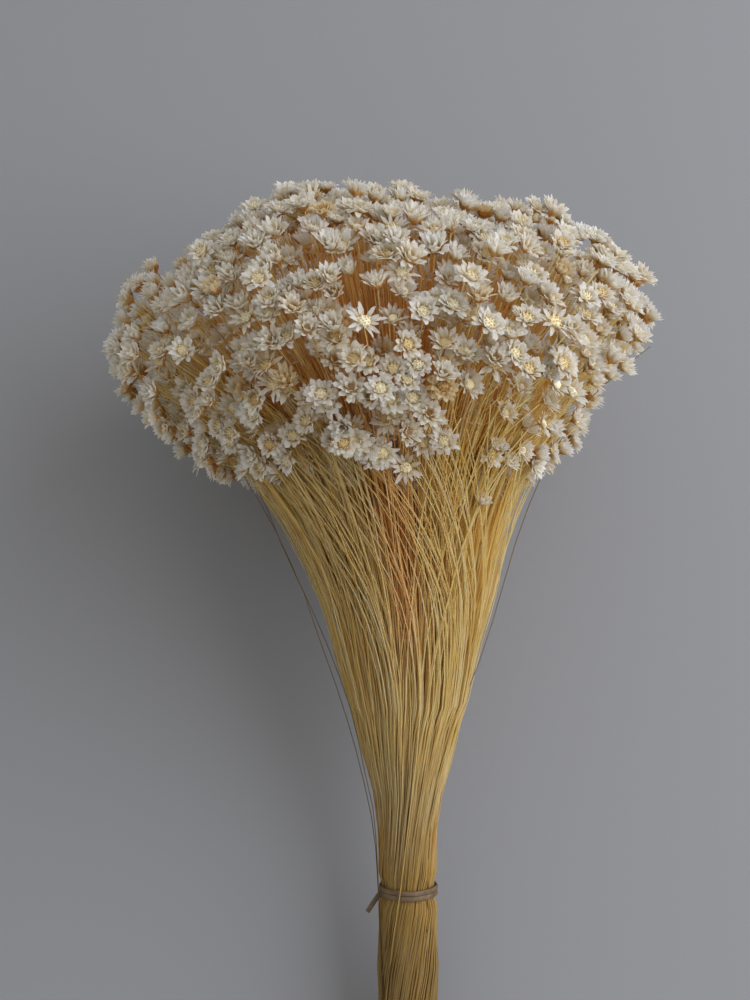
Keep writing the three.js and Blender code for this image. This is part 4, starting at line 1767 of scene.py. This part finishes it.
@dataclass(frozen=True)
class Studio:
    """Camera, floor and soft light.

    The camera's place is in mm in the bunch frame, and the other places and the sizes are in metres.
    floor_clouds is the number of faint swells in the floor's face to a metre.
    """

    bunch: Bunch
    camera_at: tuple[float, float, float] = (-13.5, 249.4, 544)
    lens: float = 48
    floor_side: float = 60
    floor_colour: str = "#8B8C8E"
    floor_clouds: float = 3.0
    sky_colour: str = "#D0CFCE"
    sky_strength: float = 0.85
    key_colour: str = "#F4F6FF"
    key_power: float = 25.5
    key_size: tuple[float, float] = (1.7, 1.6)
    key_at: tuple[float, float, float] = (1.12, 0.22, 0.88)
    key_aim: tuple[float, float, float] = (0, 0.05, 0.08)

    def camera(self) -> None:
        """Sets the camera square to the bunch's axis, over its upper side."""
        camera = bpy.data.cameras.new("camera")
        camera.lens = self.lens
        holder = bpy.data.objects.new("camera", camera)
        bpy.context.scene.collection.objects.link(holder)
        lying = Matrix.Translation(Vector(self.bunch.origin) * MM)
        lying = lying @ Matrix.Rotation(math.radians(self.bunch.tilt), 4, "X")
        holder.matrix_world = lying @ Matrix.Translation(Vector(self.camera_at) * MM)
        bpy.context.scene.camera = holder
        bpy.context.scene.view_settings.view_transform = "Standard"

    def floor(self) -> None:
        """Lays a plain pale matt floor at z = 0."""
        half = self.floor_side / 2
        mesh = bpy.data.meshes.new("floor")
        corners = [(-half, -half, 0), (half, -half, 0), (half, half, 0), (-half, half, 0)]
        mesh.from_pydata(corners, [], [(0, 1, 2, 3)])
        material, tree = new_material("matt_card")
        place = add_node(tree, "TexCoord", {}, "Object")
        pattern = {"Vector": place, "Scale": self.floor_clouds, "Detail": 1.0}
        cloud = add_node(tree, "TexNoise", pattern, "Fac")
        fine = add_node(tree, "Bump", {"Strength": 0.02, "Height": cloud})
        card = {"Base Color": linear(self.floor_colour), "Roughness": 0.9, "Normal": fine}
        add_node(tree, "OutputMaterial", {"Surface": add_node(tree, "BsdfPrincipled", card)})
        mesh.materials.append(material)
        floor = bpy.data.objects.new("floor", mesh)
        bpy.context.scene.collection.objects.link(floor)

    def light(self) -> None:
        """Lights the scene with a grey sky and one large soft lamp on the right."""
        world = bpy.data.worlds.new("sky")
        world.use_nodes = True
        background = world.node_tree.nodes["Background"]
        background.inputs["Color"].default_value = linear(self.sky_colour)
        background.inputs["Strength"].default_value = self.sky_strength
        bpy.context.scene.world = world
        lamp = bpy.data.lights.new("window", "AREA")
        lamp.energy = self.key_power
        lamp.shape = "RECTANGLE"
        lamp.size, lamp.size_y = self.key_size
        lamp.color = linear(self.key_colour)[:3]
        holder = bpy.data.objects.new("window", lamp)
        holder.location = self.key_at
        aim = Vector(self.key_aim) - Vector(self.key_at)
        holder.rotation_euler = aim.to_track_quat("-Z", "Y").to_euler()
        bpy.context.scene.collection.objects.link(holder)


# ---- Building ----


@dataclass(frozen=True)
class Stems:
    """Stems with one number of stations each: their paths, random numbers and handfuls."""

    paths: np.ndarray
    chance: np.ndarray
    spray: np.ndarray

    def of(self, spray: int) -> tuple[np.ndarray, np.ndarray]:
        """Paths and random numbers of one handful's stems."""
        return self.paths[self.spray == spray], self.chance[self.spray == spray]


@dataclass
class Builder:
    """Makes the pieces of each handful, dresses them, names them after the nodes that they replace and hides
    those nodes.

    Heads deeper under the dome than the depths, in mm, are made plainer, and so are their stems, which keep
    only the deep stations of their paths.
    """

    bunch: Bunch
    planting: Planting
    heads: Heads
    filling: Filling
    head_form: HeadForm
    stem_form: StemForm
    depths: tuple[float, float] = (7, 16)
    deep_stations: tuple[int, ...] = (0, 2, 5, 8, 10, 11, 13, 15, 17, 19, 20)

    def piece(
        self, name: str, shape: Shape, material: bpy.types.Material, node: str, slot: str, smooth: bool
    ) -> None:
        """Makes one piece that replaces a node.

        Args:
            name: The piece's name.
            shape: Its shape in the bunch frame.
            material: Its finish.
            node: The node that it replaces.
            slot: The record's material slot; not used.
            smooth: Whether it is shaded as a round surface.
        """
        made = new_object(name, shape, self.bunch, smooth)
        made.data.materials.append(material)
        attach(made, "root")
        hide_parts(node)

    def stems(self, level: np.ndarray) -> list[Stems]:
        """All stems of the bunch.

        Args:
            level: For each head, 0 for an outer one and more for those deeper inside.

        Returns:
            The full ones, those of deeper heads, and the outer and the inner bare ones.
        """
        form, spray_at = self.stem_form, self.planting.spray_at
        groups = [form.leading_to(self.heads), form.over_others(), form.strays()]
        paths, chance = (np.concatenate(parts) for parts in zip(*groups))
        spray = spray_at(azimuth_of(paths[:, -form.free_stations]))
        spray[: len(self.heads)] = self.heads.spray
        full = np.append(level == 0, np.full(len(paths) - len(self.heads), True))
        outer = Stems(paths[full], chance[full], spray[full])
        deep = Stems(paths[~full][:, self.deep_stations], chance[~full], spray[~full])
        bare = [
            Stems(run, numbers, spray_at(azimuth_of(run[:, -form.free_stations])))
            for run, numbers in form.bare_ones(self.filling.ends(form.bare))
        ]
        return [outer, deep, *bare]

    def sprays(self) -> None:
        """Makes the handfuls: stems, cups, florets and petals each."""
        straw, amber = DryStraw().build(), AmberBract().build()
        floret, petal = DryFloret().build(), PaperyBract().build()
        form, stem_form, dry = self.head_form, self.stem_form, "dried_flower"
        level = np.searchsorted(self.depths, self.bunch.depth(self.heads.middle))
        sorts = self.stems(level)
        for spray in range(self.planting.sprays):
            name = f"flower_spray_{spray + 1}"
            of = self.heads.spray == spray
            heads, second, inner = (self.heads.chosen(of & (level == number)) for number in range(3))
            stems = Shape.joined([stem_form.shape(*some.of(spray)) for some in sorts])
            self.piece(f"{name}_stems", stems, straw, name, dry, True)
            self.piece(f"{name}_cups", form.cups(heads, second, inner), amber, name, dry, False)
            self.piece(f"{name}_florets", form.discs(heads, second), floret, name, dry, True)
            self.piece(f"{name}_petals", form.petals(heads, second, inner), petal, name, dry, False)

    def band(self) -> None:
        """Makes the rubber band."""
        shape, rubber = RubberBand(self.bunch).shape(), NaturalRubber().build()
        self.piece("rubber_band_wound", shape, rubber, "rubber_band", "natural_rubber", True)


def main() -> None:
    """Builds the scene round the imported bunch."""
    logging.basicConfig(level=logging.INFO, format="%(name)s: %(message)s")
    bunch = Bunch()
    studio = Studio(bunch)
    studio.camera()
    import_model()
    studio.floor()
    studio.light()
    planting = Planting(bunch)
    planted = planting.plant()
    filling = Filling(planting)
    heads = filling.stirred(Heads.joined([planted, filling.heads(planted)]))
    log.info("%d heads, %d of them planted first", len(heads), len(planted))
    builder = Builder(bunch, planting, heads, filling, HeadForm(), StemForm(bunch, planting))
    builder.sprays()
    builder.band()


if __name__ == "__main__":
    main()
